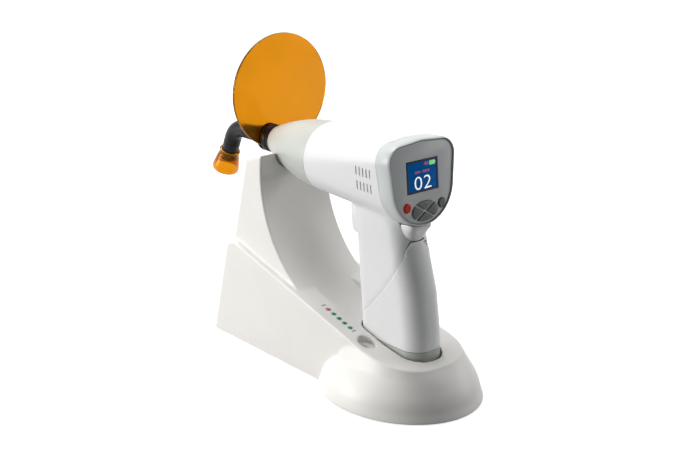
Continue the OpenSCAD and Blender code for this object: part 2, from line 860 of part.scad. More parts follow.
module body_half(s) {
  boss_r = 2.6;
  color("white") at_frame() {
    difference() {
      intersection() {
        difference() {
          union() {
            barrel(0, 0);
            difference() {
              handle(0, 0);
              bezel_zone();
            }
          }
          difference() {
            union() {
              barrel(-shell_wall, cut);
              handle(-shell_wall, cut);
            }
            for (p = body_screw_at) y_rod(boss_r, p[0], p[1], -far, far);
            for (t = [-1, 1])
              y_rod(3.4, trigger_x, trigger_z, t > 0 ? trigger_w / 2 + trigger_gap : -far,
                t > 0 ? far : -trigger_w / 2 - trigger_gap);
          }
          trigger_slot();
          vent_slots();
          latch_window();
        }
        translate([-far, s > 0 ? split : -far, 0]) cube([2 * far, far - split, far]);
      }
      below_seam(-split);
      y_rod(trigger_pin_r + press, trigger_x, trigger_z, -trigger_w / 2 - 5, trigger_w / 2 + 5);
      for (p = body_screw_at) {
        y_rod(body_screw_r + 0.05, p[0], p[1], -body_screw_l - cut, far);
        y_rod(2 * body_screw_r + 0.1, p[0], p[1], head_seat, far);
      }
    }
  }
}
module shell_left() { body_half(-1); }
module shell_right() { body_half(1); }

module body_screws() {
  color("silver") at_frame() for (p = body_screw_at) {
    y_rod(body_screw_r, p[0], p[1], -body_screw_l, head_seat + 0.2);
    y_rod(2 * body_screw_r - 0.2, p[0], p[1], head_seat, head_seat + 2);
  }
}

module nose_cone() {
  n = 14;
  hollow_l = nose_l - nose_solid;
  color("honeydew") at_frame() x_spin(seam_x)
    polygon(concat(
      [for (i = [0:n]) let (l = nose_l * i / n) [nose_at(seam_x - l), l]],
      [[spigot_r, nose_l], [spigot_r, nose_l + spigot_l], [socket_r, nose_l + spigot_l],
        [socket_r, nose_l - guide_in], [sleeve_r, nose_l - guide_in], [sleeve_r, hollow_l]],
      [for (i = [n:-1:0]) let (l = hollow_l * i / n) [max(nose_at(seam_x - l) - shell_wall, sleeve_r), l]]
    ));
}

module bezel() {
  color("lightgray") at_frame() on_panel() difference() {
    translate([0, 0, -bezel_d + thin]) linear_extrude(bezel_d - thin) bezel_outline(0);
    translate([0, 0, panel_back]) linear_extrude(far) bezel_outline(-rim_w);
    translate([0, 0, -bezel_d - cut]) linear_extrude(far) bezel_outline(-rim_w - ledge_w);
  }
}

module dpad_hole(g, h) {
  translate([dpad_at[0], dpad_at[1], 0]) oval(dpad_w + 2 * g, dpad_h + 2 * g, h);
}

module control_panel() {
  color("gray") at_frame() on_panel() difference() {
    translate([0, 0, panel_back + 0.02]) linear_extrude(panel_t - 0.02) bezel_outline(-rim_w - 0.15);
    translate([0, 0, panel_back - cut]) {
      translate([-lcd_w / 2 - 0.1, lcd_up - lcd_h / 2 - 0.1, 0]) cube([lcd_w + 0.2, lcd_h + 0.2, far]);
      translate(power_at) cylinder(r = power_r + key_gap, h = far);
      translate(mode_at) cylinder(r = mode_r + key_gap, h = far);
      dpad_hole(key_gap, far);
    }
  }
}

module lcd_window() {
  color("royalblue", 0.6) at_frame() on_panel() translate([-lcd_w / 2, lcd_up - lcd_h / 2, panel_back + 0.3])
    cube([lcd_w, lcd_h, panel_t - 0.1]);
}

module lcd_module() {
  color("midnightblue") at_frame() on_panel()
    translate([-lcd_w / 2 - 1, lcd_up - lcd_h / 2 - 1, key_board_top])
      cube([lcd_w + 2, lcd_h + 2, panel_back - 0.1 - key_board_top]);
}

module keypad_board() {
  color("seagreen") at_frame() on_panel() translate([0, 0, key_board_top - board_t])
    linear_extrude(board_t) bezel_outline(-rim_w - ledge_w - fit);
}

module key_switches() {
  s = 3;
  h = switch_top - key_board_top;
  color("darkslategray") at_frame() on_panel() for (p = key_places) translate([p[0], p[1], key_board_top]) {
    translate([-s / 2, -s / 2, 0]) cube([s, s, h - 0.6]);
    cylinder(r = 0.9, h = h, $fn = 32);
  }
}

module round_key(at, r) {
  on_panel() translate([at[0], at[1], key_foot]) cylinder(r = r, h = panel_top + key_proud - key_foot);
}
module power_button() { color("firebrick") at_frame() round_key(power_at, power_r); }
module mode_button() { color("dimgray") at_frame() round_key(mode_at, mode_r); }

// One sector of the four-way key, pointing to angle a
module dpad_key(a) {
  h = panel_top + key_proud - key_foot;
  run = dpad_w;
  rise = dpad_h;
  g = dpad_gap / 2;
  inner = g * sqrt(run * run + rise * rise);
  side = a % 180 == 0;
  t = side ? [inner / rise, 0] : [0, inner / run];
  color("dimgray") at_frame() on_panel() translate([dpad_at[0], dpad_at[1], key_foot]) intersection() {
    oval(dpad_w, dpad_h, h);
    mirror([a == 180 ? 1 : 0, a == 270 ? 1 : 0, 0]) linear_extrude(h)
      polygon(side ? [t, t + [run, -rise], t + [run, rise]] : [t, t + [run, rise], t + [-run, rise]]);
  }
}
module dpad_right() { dpad_key(0); }
module dpad_up() { dpad_key(90); }
module dpad_left() { dpad_key(180); }
module dpad_down() { dpad_key(270); }

module main_board() {
  w = handle_w - 2 * shell_wall - 2 * fit;
  low = foot_z + seam_z + 8.5;
  color("seagreen") at_frame() translate([main_board_x, -w / 2, low])
    cube([board_t, w, axis_z - barrel_r + 4 - low]);
}

module trigger_switch() {
  x0 = trigger_x + trigger_rear + switch_drop * sin(trigger_press) + fit;
  tip = 1.2;
  w = 7;
  h = 6;
  color("darkslategray") at_frame() translate([x0, 0, trigger_z - switch_drop]) {
    translate([tip, -w / 2, -h / 2]) cube([main_board_x - x0 - tip, w, h]);
    rotate([0, 90, 0]) cylinder(r = tip, h = 2 * tip, $fn = 32);
  }
}

module trigger_pin() {
  half = trigger_w / 2 + 4.8;
  color("silver") at_frame() y_rod(trigger_pin_r, trigger_x, trigger_z, -half, half);
}

module trigger_spring() {
  x0 = trigger_x + trigger_rear + 0.05;
  color("silver") at_frame() translate([x0, 0, trigger_z - spring_drop]) rotate([0, 90, 0])
    coil(2.2, 0.3, main_board_x - x0 - 0.05, 5);
}

module trigger() {
  rear = trigger_rear;
  low = -trigger_l;
  color("whitesmoke") at_frame() difference() {
    union() {
      translate([trigger_x, 0, trigger_z]) side_prism(trigger_w)
        polygon([
          [-trigger_reach, -3.4], [-trigger_reach + 1.4, low + 3], [-trigger_reach + 2.6, low + 0.8],
          [-trigger_reach + 4.4, low], [rear - 3, low], [rear, low + 4], [rear, 0], [-3, 1]
        ]);
      y_rod(3.2, trigger_x, trigger_z, -trigger_w / 2, trigger_w / 2);
    }
    y_rod(trigger_pin_r + 0.05, trigger_x, trigger_z, -trigger_w, trigger_w);
  }
}

module heat_sink() {
  pitch = 3.4;
  core = 6;
  color("silver") at_frame() {
    x_rod(sink_r, sink_x, sink_t);
    x_rod(core, sink_x + pitch * fin_n, pitch * fin_n + 1);
    for (i = [1:fin_n]) x_rod(sink_r - 3, sink_x + i * pitch, 1.4);
  }
}

module led_emitter() {
  size = 10;
  color("gold") at_frame() {
    translate([emitter_x, -size / 2, axis_z - size / 2]) cube([emitter_t, size, size]);
    x_rod(2.5, emitter_x, 1);
  }
}

module collimator_lens() {
  x0 = emitter_x - 1.2;
  color("aliceblue", 0.6) at_frame() x_rod(3, x0, x0 - socket_x - fit, guide_r - 0.4);
}

module fan_frame() {
  color("dimgray") at_frame() {
    difference() {
      x_rod(fan_r, fan_rear_x, fan_d);
      x_rod(fan_r - fan_rim, fan_rear_x + cut, fan_d + 2 * cut);
    }
    x_rod(fan_hub_r, fan_rear_x, fan_web);
    for (a = [45:90:315]) translate([fan_rear_x - fan_web, 0, axis_z]) rotate([a, 0, 0])
      translate([0, -1, fan_hub_r - 1]) cube([fan_web, 2, fan_r - fan_hub_r]);
    x_rod(fan_axle_r, fan_rear_x, fan_d - 0.5);
  }
}

module fan_rotor() {
  x0 = fan_rear_x - fan_web - fit;
  h = fan_d - fan_web - 1;
  blade_w = 5.2;
  blade_l = fan_r - fan_rim - 0.8 - fan_hub_r;
  color("slategray") at_frame() difference() {
    union() {
      x_rod(fan_hub_r, x0, h);
      for (i = [0:blade_n - 1]) translate([x0 - h / 2, 0, axis_z]) rotate([i * 360 / blade_n, 0, 0])
        translate([0, 0, fan_hub_r - 1]) rotate([0, 0, 35])
          translate([-0.5, -blade_w / 2, 0]) cube([1, blade_w, blade_l]);
    }
    x_rod(fan_axle_r + 0.05, x0 + cut, h + 2 * cut);
  }
}

module battery_housing() {
  color("whitesmoke") at_frame() difference() {
    intersection() {
      handle(0, 0);
      below_seam(split);
      translate([-far, -far, cap_top + 0.05]) cube([2 * far, 2 * far, far]);
    }
    intersection() {
      handle(-shell_wall, cut);
      below_seam(split + shell_wall);
    }
  }
}

module battery_cell() {
  color("steelblue") at_frame() translate([cell_x, 0, cell_z]) {
    cylinder(r = cell_r, h = cell_l - 1);
    cylinder(r = 3, h = cell_l);
  }
}

module foot_cap() {
  color("darkseagreen") at_frame() difference() {
    translate([handle_x, 0, foot_z]) handle_block(foot_l, 0, cap_h);
    translate([handle_x, 0, foot_z + shell_wall]) handle_block(foot_l, -shell_wall, far);
    for (s = [-1, 1])
      translate([handle_x + s * pin_span / 2, 0, foot_z - cut]) cylinder(r = contact_r, h = 2 * cut);
  }
}

module contact_pads() {
  color("gold") at_frame() for (s = [-1, 1])
    translate([handle_x + s * pin_span / 2, 0, foot_z]) cylinder(r = contact_r - 0.05, h = cut);
}

module battery_latch() {
  h = latch_h;
  tail = 3;
  lip = 2.4;
  color("darkgray") at_frame() intersection() {
    translate([latch_x, 0, latch_top - h]) side_prism(latch_w)
      polygon([[-tail, 0], [1, 0], [latch_l, h - lip], [latch_l, h], [-tail, h]]);
    translate([latch_x - 5, 0, latch_top - h - cut]) oval(2 * (latch_l + 5), latch_w + 4, h + 2 * cut);
  }
}

// Light guide, tip cone and shield

// Straight end, bend and tip of the guide, with a fine band over each joint of the three
module guide_path(r, from_x, end_l) {
  band = 0.03;
  half = 0.6;
  x_rod(r, from_x, from_x - bend_x);
  x_rod(r + band, bend_x + half, 2 * half);
  translate([bend_x, 0, axis_z - bend_r]) rotate([90, 0, 0]) rotate([0, 0, 90])
    rotate_extrude(angle = guide_angle) translate([bend_r, 0]) circle(r = r);
  translate(bend_end) rotate([0, -90 - guide_angle, 0]) {
    cylinder(r = r, h = end_l);
    translate([0, 0, -half]) cylinder(r = r + band, h = 2 * half);
  }
}

module guide_jacket() {
  color("black") at_frame() difference() {
    guide_path(guide_r, socket_x, guide_end_l);
    guide_path(core_r, socket_x + cut, guide_end_l + cut);
  }
}

module guide_core() {
  color("lightcyan", 0.6) at_frame() guide_path(core_r - press, socket_x, guide_end_l);
}

module tip_cone() {
  top_in = socket_r;
  color("darkorange", 0.7) at_frame() translate(cone_start) rotate([0, -90 - guide_angle, 0]) rotate_extrude()
    polygon([
      [top_in, 0], [cone_top_r, 0], [cone_rim_r, cone_l], [cone_rim_r - cone_wall, cone_l],
      [top_in + 0.5, cone_bore + 1], [top_in, cone_bore]
    ]);
}

module shield_hub() {
  total = hub_l + disc_t + clamp_t;
  color("black") at_frame() x_spin(hub_x)
    polygon([
      [spigot_r + hub_turn, 0], [hub_r, 0], [hub_r, hub_l], [hub_seat_r, hub_l], [hub_seat_r, total],
      [hub_bore, total], [hub_bore, spigot_l + 0.2], [spigot_r + hub_turn, spigot_l + 0.2]
    ]);
}

module shield_disc() {
  color("darkorange", 0.7) at_frame() difference() {
    translate([disc_x - 0.05, 0, axis_z]) rotate([-disc_swivel, 0, 0]) translate([0, 0, disc_offset])
      rotate([0, -90, 0]) cylinder(r = disc_r, h = disc_t - 0.1, $fn = 128);
    x_rod(hub_seat_r + 0.05, disc_x + cut, disc_t + 2 * cut);
  }
}

module shield_clamp() {
  color("black") at_frame() difference() {
    x_rod(hub_r, disc_x - disc_t, clamp_t);
    x_rod(hub_seat_r + 0.03, disc_x, disc_t + clamp_t + cut);
  }
}

stand_shell();
base_plate();
rubber_feet();
base_screws();
charger_board();
board_screws();
contact_block();
charge_pin_front();
charge_pin_rear();
charge_spring_front();
charge_spring_rear();
inlet_housing();
inlet_pin();
light_board();
red_light();
green_lights();
meter_window();
meter_sensor();
shell_left();
shell_right();
body_screws();
nose_cone();
bezel();
control_panel();
lcd_window();
lcd_module();
keypad_board();
key_switches();
main_board();
trigger_switch();
trigger_pin();
trigger_spring();
led_emitter();
collimator_lens();
heat_sink();
fan_frame();
battery_housing();
battery_cell();
foot_cap();
contact_pads();
trigger();
power_button();
mode_button();
dpad_up();
dpad_down();
dpad_left();
dpad_right();
guide_jacket();
guide_core();
tip_cone();
shield_hub();
shield_disc();
shield_clamp();
fan_rotor();
battery_latch();
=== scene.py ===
"""Looks of a cordless curing light that rests on its charging stand.

Each operator models one piece, or one group of like pieces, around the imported
solids. Shapes are drawn in millimetres from the control panel, as the part's
source does, and a piece is brought to metres in the part's frame when it is done.
"""

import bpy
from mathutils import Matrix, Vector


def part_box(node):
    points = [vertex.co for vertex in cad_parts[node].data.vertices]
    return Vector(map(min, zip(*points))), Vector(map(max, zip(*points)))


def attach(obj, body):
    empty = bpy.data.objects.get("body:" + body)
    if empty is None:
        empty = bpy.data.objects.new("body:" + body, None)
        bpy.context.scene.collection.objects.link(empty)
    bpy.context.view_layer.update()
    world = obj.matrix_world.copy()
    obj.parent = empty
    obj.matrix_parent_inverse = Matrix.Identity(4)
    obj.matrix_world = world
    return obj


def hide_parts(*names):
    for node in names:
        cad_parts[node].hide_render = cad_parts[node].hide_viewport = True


bl_info = {
    "name": "Curing Light on Stand",
    "version": (1, 0, 0),
    "blender": (4, 5, 0),
    "location": "View3D > Sidebar > Curing Light",
    "description": "Models the shells, keys, guide and shield of a curing light",
    "category": "Object",
}

import math
from types import SimpleNamespace

import bmesh
import bpy
from bpy.props import FloatProperty, FloatVectorProperty, PointerProperty
from mathutils import Matrix, Vector

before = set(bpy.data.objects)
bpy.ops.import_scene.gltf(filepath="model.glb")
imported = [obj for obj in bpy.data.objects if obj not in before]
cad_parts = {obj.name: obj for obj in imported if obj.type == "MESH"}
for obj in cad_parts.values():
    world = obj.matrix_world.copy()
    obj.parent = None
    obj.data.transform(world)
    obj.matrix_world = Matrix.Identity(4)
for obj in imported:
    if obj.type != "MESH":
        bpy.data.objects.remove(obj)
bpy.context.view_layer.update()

MM = 0.001
MICRON = 0.000001
PREFIX = "curing_light_"
SHARP = math.radians(38)
QUARTER = math.pi / 2

# Fixed places of the solids, in millimetres from the control panel
SEAM_X = -88.8
TIP_X = -145.5
MID_X = -58.08
HUB_X = -145.8
LATCH_X = -13.0
LATCH_LOW = 105.0
TOWER_FRONT_X = -128.0
TOWER_REAR_Z = 133.5
TOWER_TOP_Z = 139.0
WELL_Z = 18.0
SKIRT_Z = 0.35
INLET_Z = 9.0
RAIL_Y = -23.7
TRIGGER_AT = (-50.016, 121.0)

# Height under which the handle runs past the bezel's back
BEZEL_LOW = 115.3

nose_low, nose_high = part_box("nose_cone")
AXIS_Z = (nose_low.z + nose_high.z) / 2 / MM
PART = Matrix.Translation((nose_high.x - SEAM_X * MM, 0, 0)) @ Matrix.Diagonal((MM, MM, MM, 1))
ALONG_X = Matrix.Rotation(QUARTER, 4, "Y")
ALONG_Y = Matrix.Rotation(QUARTER, 4, "X")

# The handle's foot, whose round back reaches past its length
foot_low, foot_high = (PART.inverted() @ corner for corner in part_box("foot_cap"))
REAR_REACH = 3.0
HANDLE_X = (foot_low.x + foot_high.x - REAR_REACH) / 2
FOOT_FRONT_X = foot_low.x
FOOT_Z = foot_low.z
CAP_TOP = foot_high.z

# Height of the battery's seam at the handle's middle, and reach of the charge pins from there
BATTERY_SEAM_Z = FOOT_Z + 57.5
PIN_REACH = 8.0

# Indicator lights, and the light meter's oval recess with its half sizes
LIGHT_X = HANDLE_X - 44.4
LIGHT_PITCH = 5.5
LIGHT_N = 5
LENS_R = 1.4
METER_X = HANDLE_X - 6.0
METER_A = 7.0
METER_B = 5.0
METER_DEPTH = 4.6

# Places of the keys on the panel, sideways and up from the barrel's axis
POWER_AT = (-13.8, -12.2, 0.0)
POWER_R = 2.8
MODE_AT = (15.0, -13.8, 0.0)
MODE_R = 2.5
DPAD_AT = (0.8, -16.3, 0.0)
KEY_GAP = 0.3
KEY_FOOT = -3.3

# Least and most roughness, scale of the grain, its depth in micrometres and drift of the shade
SURFACES = {
    "stand plastic": (0.34, 0.42, 1700.0, 30, 0.02),
    "base plastic": (0.45, 0.6, 900.0, 60, 0.05),
    "pad rubber": (0.7, 0.85, 1100.0, 80, 0.15),
    "red lens": (0.12, 0.2, 900.0, 6, 0.1),
    "green lens": (0.12, 0.2, 900.0, 6, 0.1),
    # The two rims are real rings, but their pale tints paint the glow that the lit lamps spill round
    # them
    "red glow rim": (0.3, 0.4, 1500.0, 10, 0.05),
    "green glow rim": (0.3, 0.4, 1500.0, 10, 0.05),
    "printed ticks": (0.4, 0.5, 1500.0, 10, 0.05),
    "meter window": (0.2, 0.3, 1200.0, 10, 0.04),
    "body plastic": (0.29, 0.31, 1900.0, 12, 0.008),
    "foot plastic": (0.42, 0.55, 1500.0, 30, 0.06),
    "latch plastic": (0.32, 0.44, 1600.0, 20, 0.04),
    "nose plastic": (0.34, 0.46, 1700.0, 20, 0.03),
    "bezel plastic": (0.3, 0.42, 1600.0, 18, 0.03),
    # The dark ring around the panel paints the shade of the groove between bezel and film
    "panel shade ring": (0.5, 0.65, 1500.0, 10, 0.1),
    "panel film": (0.38, 0.5, 2600.0, 14, 0.04),
    "power key": (0.3, 0.4, 900.0, 10, 0.08),
    "key rubber": (0.45, 0.6, 2200.0, 20, 0.1),
    "key marks": (0.4, 0.5, 1800.0, 10, 0.05),
    "key surround": (0.35, 0.45, 1800.0, 10, 0.05),
    "display frame": (0.16, 0.26, 900.0, 6, 0.1),
    "display screen": (0.12, 0.2, 700.0, 4, 0.12),
    "screen white": (0.2, 0.3, 700.0, 4, 0.05),
    "screen red": (0.2, 0.3, 700.0, 4, 0.05),
    "screen green": (0.2, 0.3, 700.0, 4, 0.05),
    "guide jacket": (0.26, 0.36, 1400.0, 20, 0.15),
    "tip cone amber": (0.1, 0.2, 260.0, 10, 0.06),
    "shield amber": (0.1, 0.2, 260.0, 10, 0.06),
    "screw steel": (0.22, 0.38, 900.0, 15, 0.08),
    "contact gold": (0.18, 0.3, 900.0, 15, 0.08),
    "sink aluminium": (0.3, 0.45, 900.0, 15, 0.08),
    "circuit board": (0.3, 0.42, 1200.0, 10, 0.1),
    "dark moulding": (0.4, 0.55, 1500.0, 20, 0.12),
    "clear glass": (0.04, 0.08, 300.0, 3, 0.01),
    "cell wrap": (0.25, 0.4, 700.0, 20, 0.12),
}


def length(name, default, description):
    """A length property, given in millimetres."""
    return FloatProperty(
        name=name, description=description, default=default * MM, min=0.0, precision=5, unit="LENGTH"
    )


def angle(name, default, description):
    """An angle property, given in degrees."""
    return FloatProperty(
        name=name, description=description, default=math.radians(default), unit="ROTATION"
    )


def tint(name, default, description):
    """A colour property in linear light."""
    return FloatVectorProperty(
        name=name, description=description, default=default, size=3, min=0.0, max=1.0, subtype="COLOR"
    )


class StandSizes(bpy.types.PropertyGroup):
    """Sizes of the charging stand"""

    block_w: length("Block width", 67.0, "Width of the rear block")
    tower_w: length("Tower width", 58.0, "Width of the tower that carries the nose")
    back_lean: angle("Back lean", 14.9, "Lean of the rear wall")
    back_r: length("Back corner", 9.0, "Radius of the corner between rear wall and deck")
    deck_z: length("Deck height", 35.5, "Height of the sloping deck at the handle")
    deck_slope: angle("Deck slope", 15.2, "Slope of the deck")
    channel_w: length("Channel width", 32.6, "Width of the sunk channel between the rails")
    wall: length("Wall", 2.5, "Wall of the moulded shell")
    rim_reach: length("Rim reach", 40.2, "Reach of the dome's top rim in front of the handle")
    rim_z: length("Rim height", 29.2, "Height of the dome's top rim at the front")
    edge: length("Edge", 1.4, "Chamfer along the outer edges of the rails")
    voxel: length("Voxel", 0.62, "Grid of the remesh that rounds the moulded edges")


class BodySizes(bpy.types.PropertyGroup):
    """Sizes of the handpiece's shells"""

    barrel_r: length("Barrel radius", 24.0, "Radius in the middle of the barrel")
    nose_r: length("Nose radius", 23.0, "Radius at the nose seam")
    nose_l: length("Nose length", 56.7, "Length of the nose cone")
    nose_tip_r: length("Nose tip", 9.5, "Radius of the nose at its tip")
    handle_w: length("Handle width", 29.0, "Width of the handle")
    handle_r: length("Handle corner", 9.0, "Corner radius of the handle's front")
    rear_r: length("Handle back", 13.5, "Corner radius of the handle's round back")
    foot_l: length("Foot length", 52.4, "Length of the handle's foot")
    grip_l: length("Grip length", 50.0, "Length of the handle at its middle")
    grip_shift: length("Grip shift", 3.0, "Forward shift of the handle's middle")
    neck_l: length("Neck length", 39.0, "Length of the handle where it meets the barrel")
    neck_shift: length("Neck shift", 14.5, "Forward shift of the handle where it meets the barrel")
    wall: length("Wall", 2.0, "Wall of the shells")
    seam_gap: length("Seam gap", 0.12, "Half of the gap along a seam")
    seam_chamfer: length("Seam chamfer", 0.35, "Chamfer along a seam")
    voxel: length("Voxel", 0.7, "Grid of the remesh that rounds the moulded edges")
    seam_angle: angle("Battery seam", 54.8, "Slope of the seam over the battery")


class PanelSizes(bpy.types.PropertyGroup):
    """Sizes of the bezel, the panel and its keys"""

    depth: length("Bezel depth", 12.0, "Depth of the bezel")
    tilt: angle("Panel tilt", 5.0, "Backward tilt of the panel")
    low_r: length("Lower round", 25.8, "Radius of the bezel's lower round")
    corner_r: length("Upper corner", 11.0, "Radius of the bezel's upper corners")
    corner_x: length("Corner place", 16.7, "Sideways place of the upper corners")
    corner_z: length("Corner height", 16.4, "Height of the upper corners above the axis")
    arch_r: length("Arch", 24.0, "Radius of the arch between the upper corners")
    arch_z: length("Arch height", 4.8, "Height of the arch's centre above the axis")
    rim: length("Rim", 1.3, "Width of the bezel's front rim")
    sink: length("Panel sink", 0.8, "Depth of the panel below the rim")
    thick: length("Panel thickness", 2.0, "Thickness of the panel")
    lcd_w: length("Display width", 26.0, "Width of the display")
    lcd_h: length("Display height", 20.0, "Height of the display")
    lcd_up: length("Display place", 5.8, "Height of the display's centre above the axis")
    key_proud: length("Key height", 0.9, "Height of the keys above the panel")
    dpad_w: length("Key pad width", 21.0, "Width of the four-way key")
    dpad_gap: length("Key pad gap", 1.5, "Gap between the four quarters")
    dpad_h: length("Key pad height", 12.6, "Height of the four-way key")


class GuideSizes(bpy.types.PropertyGroup):
    """Sizes of the light guide, the tip cone and the shield"""

    guide_r: length("Guide radius", 6.1, "Radius of the light guide")
    core_r: length("Core radius", 4.7, "Radius of the bore for the glass core")
    reach: length("Guide reach", 49.5, "Reach from the nose to the corner of the bend")
    bend: angle("Guide bend", 66.0, "Bend of the guide")
    bend_r: length("Bend radius", 15.0, "Radius of the bend")
    end_l: length("Guide end", 17.0, "Length of the guide past the bend")
    cone_l: length("Cone length", 16.3, "Length of the tip cone")
    cone_lap: length("Cone lap", 6.5, "Length of the guide that the cone covers")
    disc_r: length("Disc radius", 40.0, "Radius of the shield disc")
    disc_offset: length("Disc offset", 33.0, "Distance from the guide's axis to the disc's centre")
    disc_t: length("Disc thickness", 2.1, "Thickness of the disc")
    disc_slot: length("Disc slot", 2.2, "Gap between hub and clamp ring that holds the disc")
    clamp_t: length("Clamp thickness", 1.8, "Thickness of the clamp ring")
    swivel: angle("Disc swivel", 17.0, "Swivel of the disc at rest")
    hub_r: length("Hub radius", 9.8, "Radius of the hub")
    hub_l: length("Hub length", 7.8, "Length of the hub in front of the disc")


class Finishes(bpy.types.PropertyGroup):
    """Colours of the object's finishes"""

    stand: tint("Stand", (0.84, 0.825, 0.795), "Warm white of the stand")
    body: tint("Body", (0.775, 0.785, 0.795), "Cool white of the handpiece")
    nose: tint("Nose", (0.51, 0.53, 0.50), "Pale grey of the nose cone")
    bezel: tint("Bezel", (0.54, 0.575, 0.57), "Light grey of the bezel")
    panel: tint("Panel", (0.55, 0.575, 0.585), "Mid grey of the panel film")
    # Painted shade: this dark grey ring stands for the shade in the groove between bezel and panel film
    shade_ring: tint("Panel shade ring", (0.22, 0.225, 0.228), "Dark grey of the seal around the panel")
    key: tint("Keys", (0.085, 0.09, 0.086), "Dark grey of the rubber keys")
    key_mark: tint("Key marks", (0.035, 0.037, 0.035), "Near black of the marks on the keys")
    red_key: tint("Power key", (0.58, 0.022, 0.014), "Red of the power key")
    surround: tint("Key surround", (0.85, 0.56, 0.53), "Pale red around the power key")
    foot: tint("Foot", (0.47, 0.49, 0.45), "Grey green of the foot cap")
    latch: tint("Latch", (0.76, 0.765, 0.77), "Pale grey of the battery latch")
    black: tint("Black", (0.012, 0.012, 0.014), "Black of the guide and the collar")
    amber: tint("Amber", (0.57, 0.205, 0.003), "Orange of the shield and the tip cone")
    screen: tint("Screen", (0.001, 0.072, 0.25), "Blue of the display")
    screen_frame: tint("Screen frame", (0.009, 0.010, 0.013), "Black of the display's frame")
    screen_white: tint("Screen number", (0.9, 0.93, 0.95), "White of the lit number")
    screen_red: tint("Screen marks", (0.34, 0.02, 0.08), "Red of the lit marks")
    screen_green: tint("Screen charge", (0.16, 0.55, 0.16), "Green of the lit charge sign")
    red_lamp: tint("Red lamp", (0.36, 0.03, 0.01), "Red indicator lens")
    green_lamp: tint("Green lamp", (0.002, 0.11, 0.05), "Green indicator lens")
    # Painted glow: the pale red and green of the lens rims stand for the lamps' light spilling round
    # them
    red_glow: tint("Red lamp's glow rim", (0.66, 0.46, 0.41), "Pale red around the red lens")
    green_glow: tint("Green lamps' glow rims", (0.38, 0.66, 0.52), "Pale green around the green lenses")
    print_blue: tint("Printed marks", (0.05, 0.14, 0.28), "Blue of the printed ticks")
    meter: tint("Meter", (0.60, 0.585, 0.555), "Pale grey of the meter's window")
    steel: tint("Steel", (0.60, 0.60, 0.61), "Steel of the screws and springs")
    gold: tint("Gold", (0.85, 0.62, 0.25), "Gold of the contacts")
    aluminium: tint("Aluminium", (0.72, 0.73, 0.74), "Aluminium of the heat sink")
    board: tint("Board", (0.016, 0.10, 0.045), "Green of the circuit boards")
    track: tint("Tracks", (0.06, 0.22, 0.10), "Light green of the boards' tracks")
    moulding: tint("Inner mouldings", (0.035, 0.037, 0.04), "Dark grey of the inner mouldings")
    rubber: tint("Pads", (0.05, 0.05, 0.052), "Black of the rubber pads")
    glass: tint("Glass", (0.93, 0.96, 0.97), "Clear glass of the core and the lens")
    wrap: tint("Cell wrap", (0.04, 0.13, 0.32), "Blue of the battery cell's wrap")


def lengths(group):
    """The group's values by name, with the lengths in millimetres."""
    values = {}
    for name in group.__annotations__:
        unit = group.bl_rna.properties[name].unit
        values[name] = getattr(group, name) / (MM if unit == "LENGTH" else 1.0)
    return SimpleNamespace(**values)


def sizes(name):
    """One group of sizes of the scene, with the lengths in millimetres."""
    return lengths(getattr(bpy.context.scene, PREFIX + name))


def deck_at(x):
    """Height of the deck's plane at a place along X."""
    stand = sizes("stand")
    return stand.deck_z - math.tan(stand.deck_slope) * (x - HANDLE_X)


def back_at(z):
    """Place of the stand's rear wall at a height."""
    return TIP_X - math.tan(sizes("stand").back_lean) * (TOWER_REAR_Z - z)


def nose_at(x):
    """Radius of the nose cone at a place along X."""
    body = sizes("body")
    share = (x - SEAM_X) / (TIP_X - SEAM_X)
    curve = 1.75
    return body.nose_r - (body.nose_r - body.nose_tip_r) * max(share, 0.0) ** curve


def up(height):
    """A shift along Z."""
    return Matrix.Translation((0, 0, height))


def on_panel():
    """Panel coordinates: X sideways, Y up the panel, Z out of it."""
    tilt = Matrix.Rotation(QUARTER - sizes("panel").tilt, 4, "Y")
    return up(AXIS_Z) @ tilt @ Matrix.Rotation(QUARTER, 4, "Z")


def on_deck(x, y):
    """Deck coordinates at a place: X down the slope, Z out of the deck."""
    return Matrix.Translation((x, y, deck_at(x))) @ Matrix.Rotation(sizes("stand").deck_slope, 4, "Y")


def at_light(i):
    """Deck coordinates of an indicator light."""
    return on_deck(LIGHT_X + LIGHT_PITCH * i, RAIL_Y)


def on_axis(x):
    """Coordinates on the barrel's axis: Z points ahead, to the light guide."""
    return Matrix.Translation((x, 0, AXIS_Z)) @ Matrix.Rotation(-QUARTER, 4, "Y")


def placed(bm, place):
    """Brings a whole bmesh to a place."""
    bmesh.ops.transform(bm, matrix=place, verts=bm.verts)
    return bm


def ring(bm, radius, place, segments=96):
    """A circle of loose edges, on the XY plane of a place."""
    return bmesh.ops.create_circle(bm, radius=radius, segments=segments, matrix=place)["verts"]


def oval_ring(bm, a, b, fullness, place, segments=112):
    """An oval of half sizes a and b that is fuller than an ellipse over a fullness of 2."""
    verts = ring(bm, 1.0, Matrix.Identity(4), segments)
    for v in verts:
        v.co.x = math.copysign(abs(v.co.x) ** (2 / fullness), v.co.x)
        v.co.y = math.copysign(abs(v.co.y) ** (2 / fullness), v.co.y)
    bmesh.ops.transform(bm, matrix=place @ Matrix.Diagonal((a, b, 1, 1)), verts=verts)
    return verts


def oval_stack(bm, levels, x, grow, segments=112):
    """Grown ovals one above the other, each given as its half sizes, height and fullness."""
    return [
        oval_ring(bm, a + grow, b + grow, n, Matrix.Translation((x, 0, z)), segments)
        for a, b, z, n in levels
    ]


def curved(levels, steps):
    """Finer levels on a smooth curve through the given ones."""
    last = len(levels) - 1
    fine = []
    for i in range(last):
        near = [Vector(levels[max(0, min(last, j))]) for j in range(i - 1, i + 3)]
        before, start, end, after = near
        square = 2 * before - 5 * start + 4 * end - after
        cube = 3 * start - before - 3 * end + after
        for t in (k / steps for k in range(steps)):
            fine.append(start + ((end - before) * t + square * t**2 + cube * t**3) / 2)
    return fine + [Vector(levels[-1])]


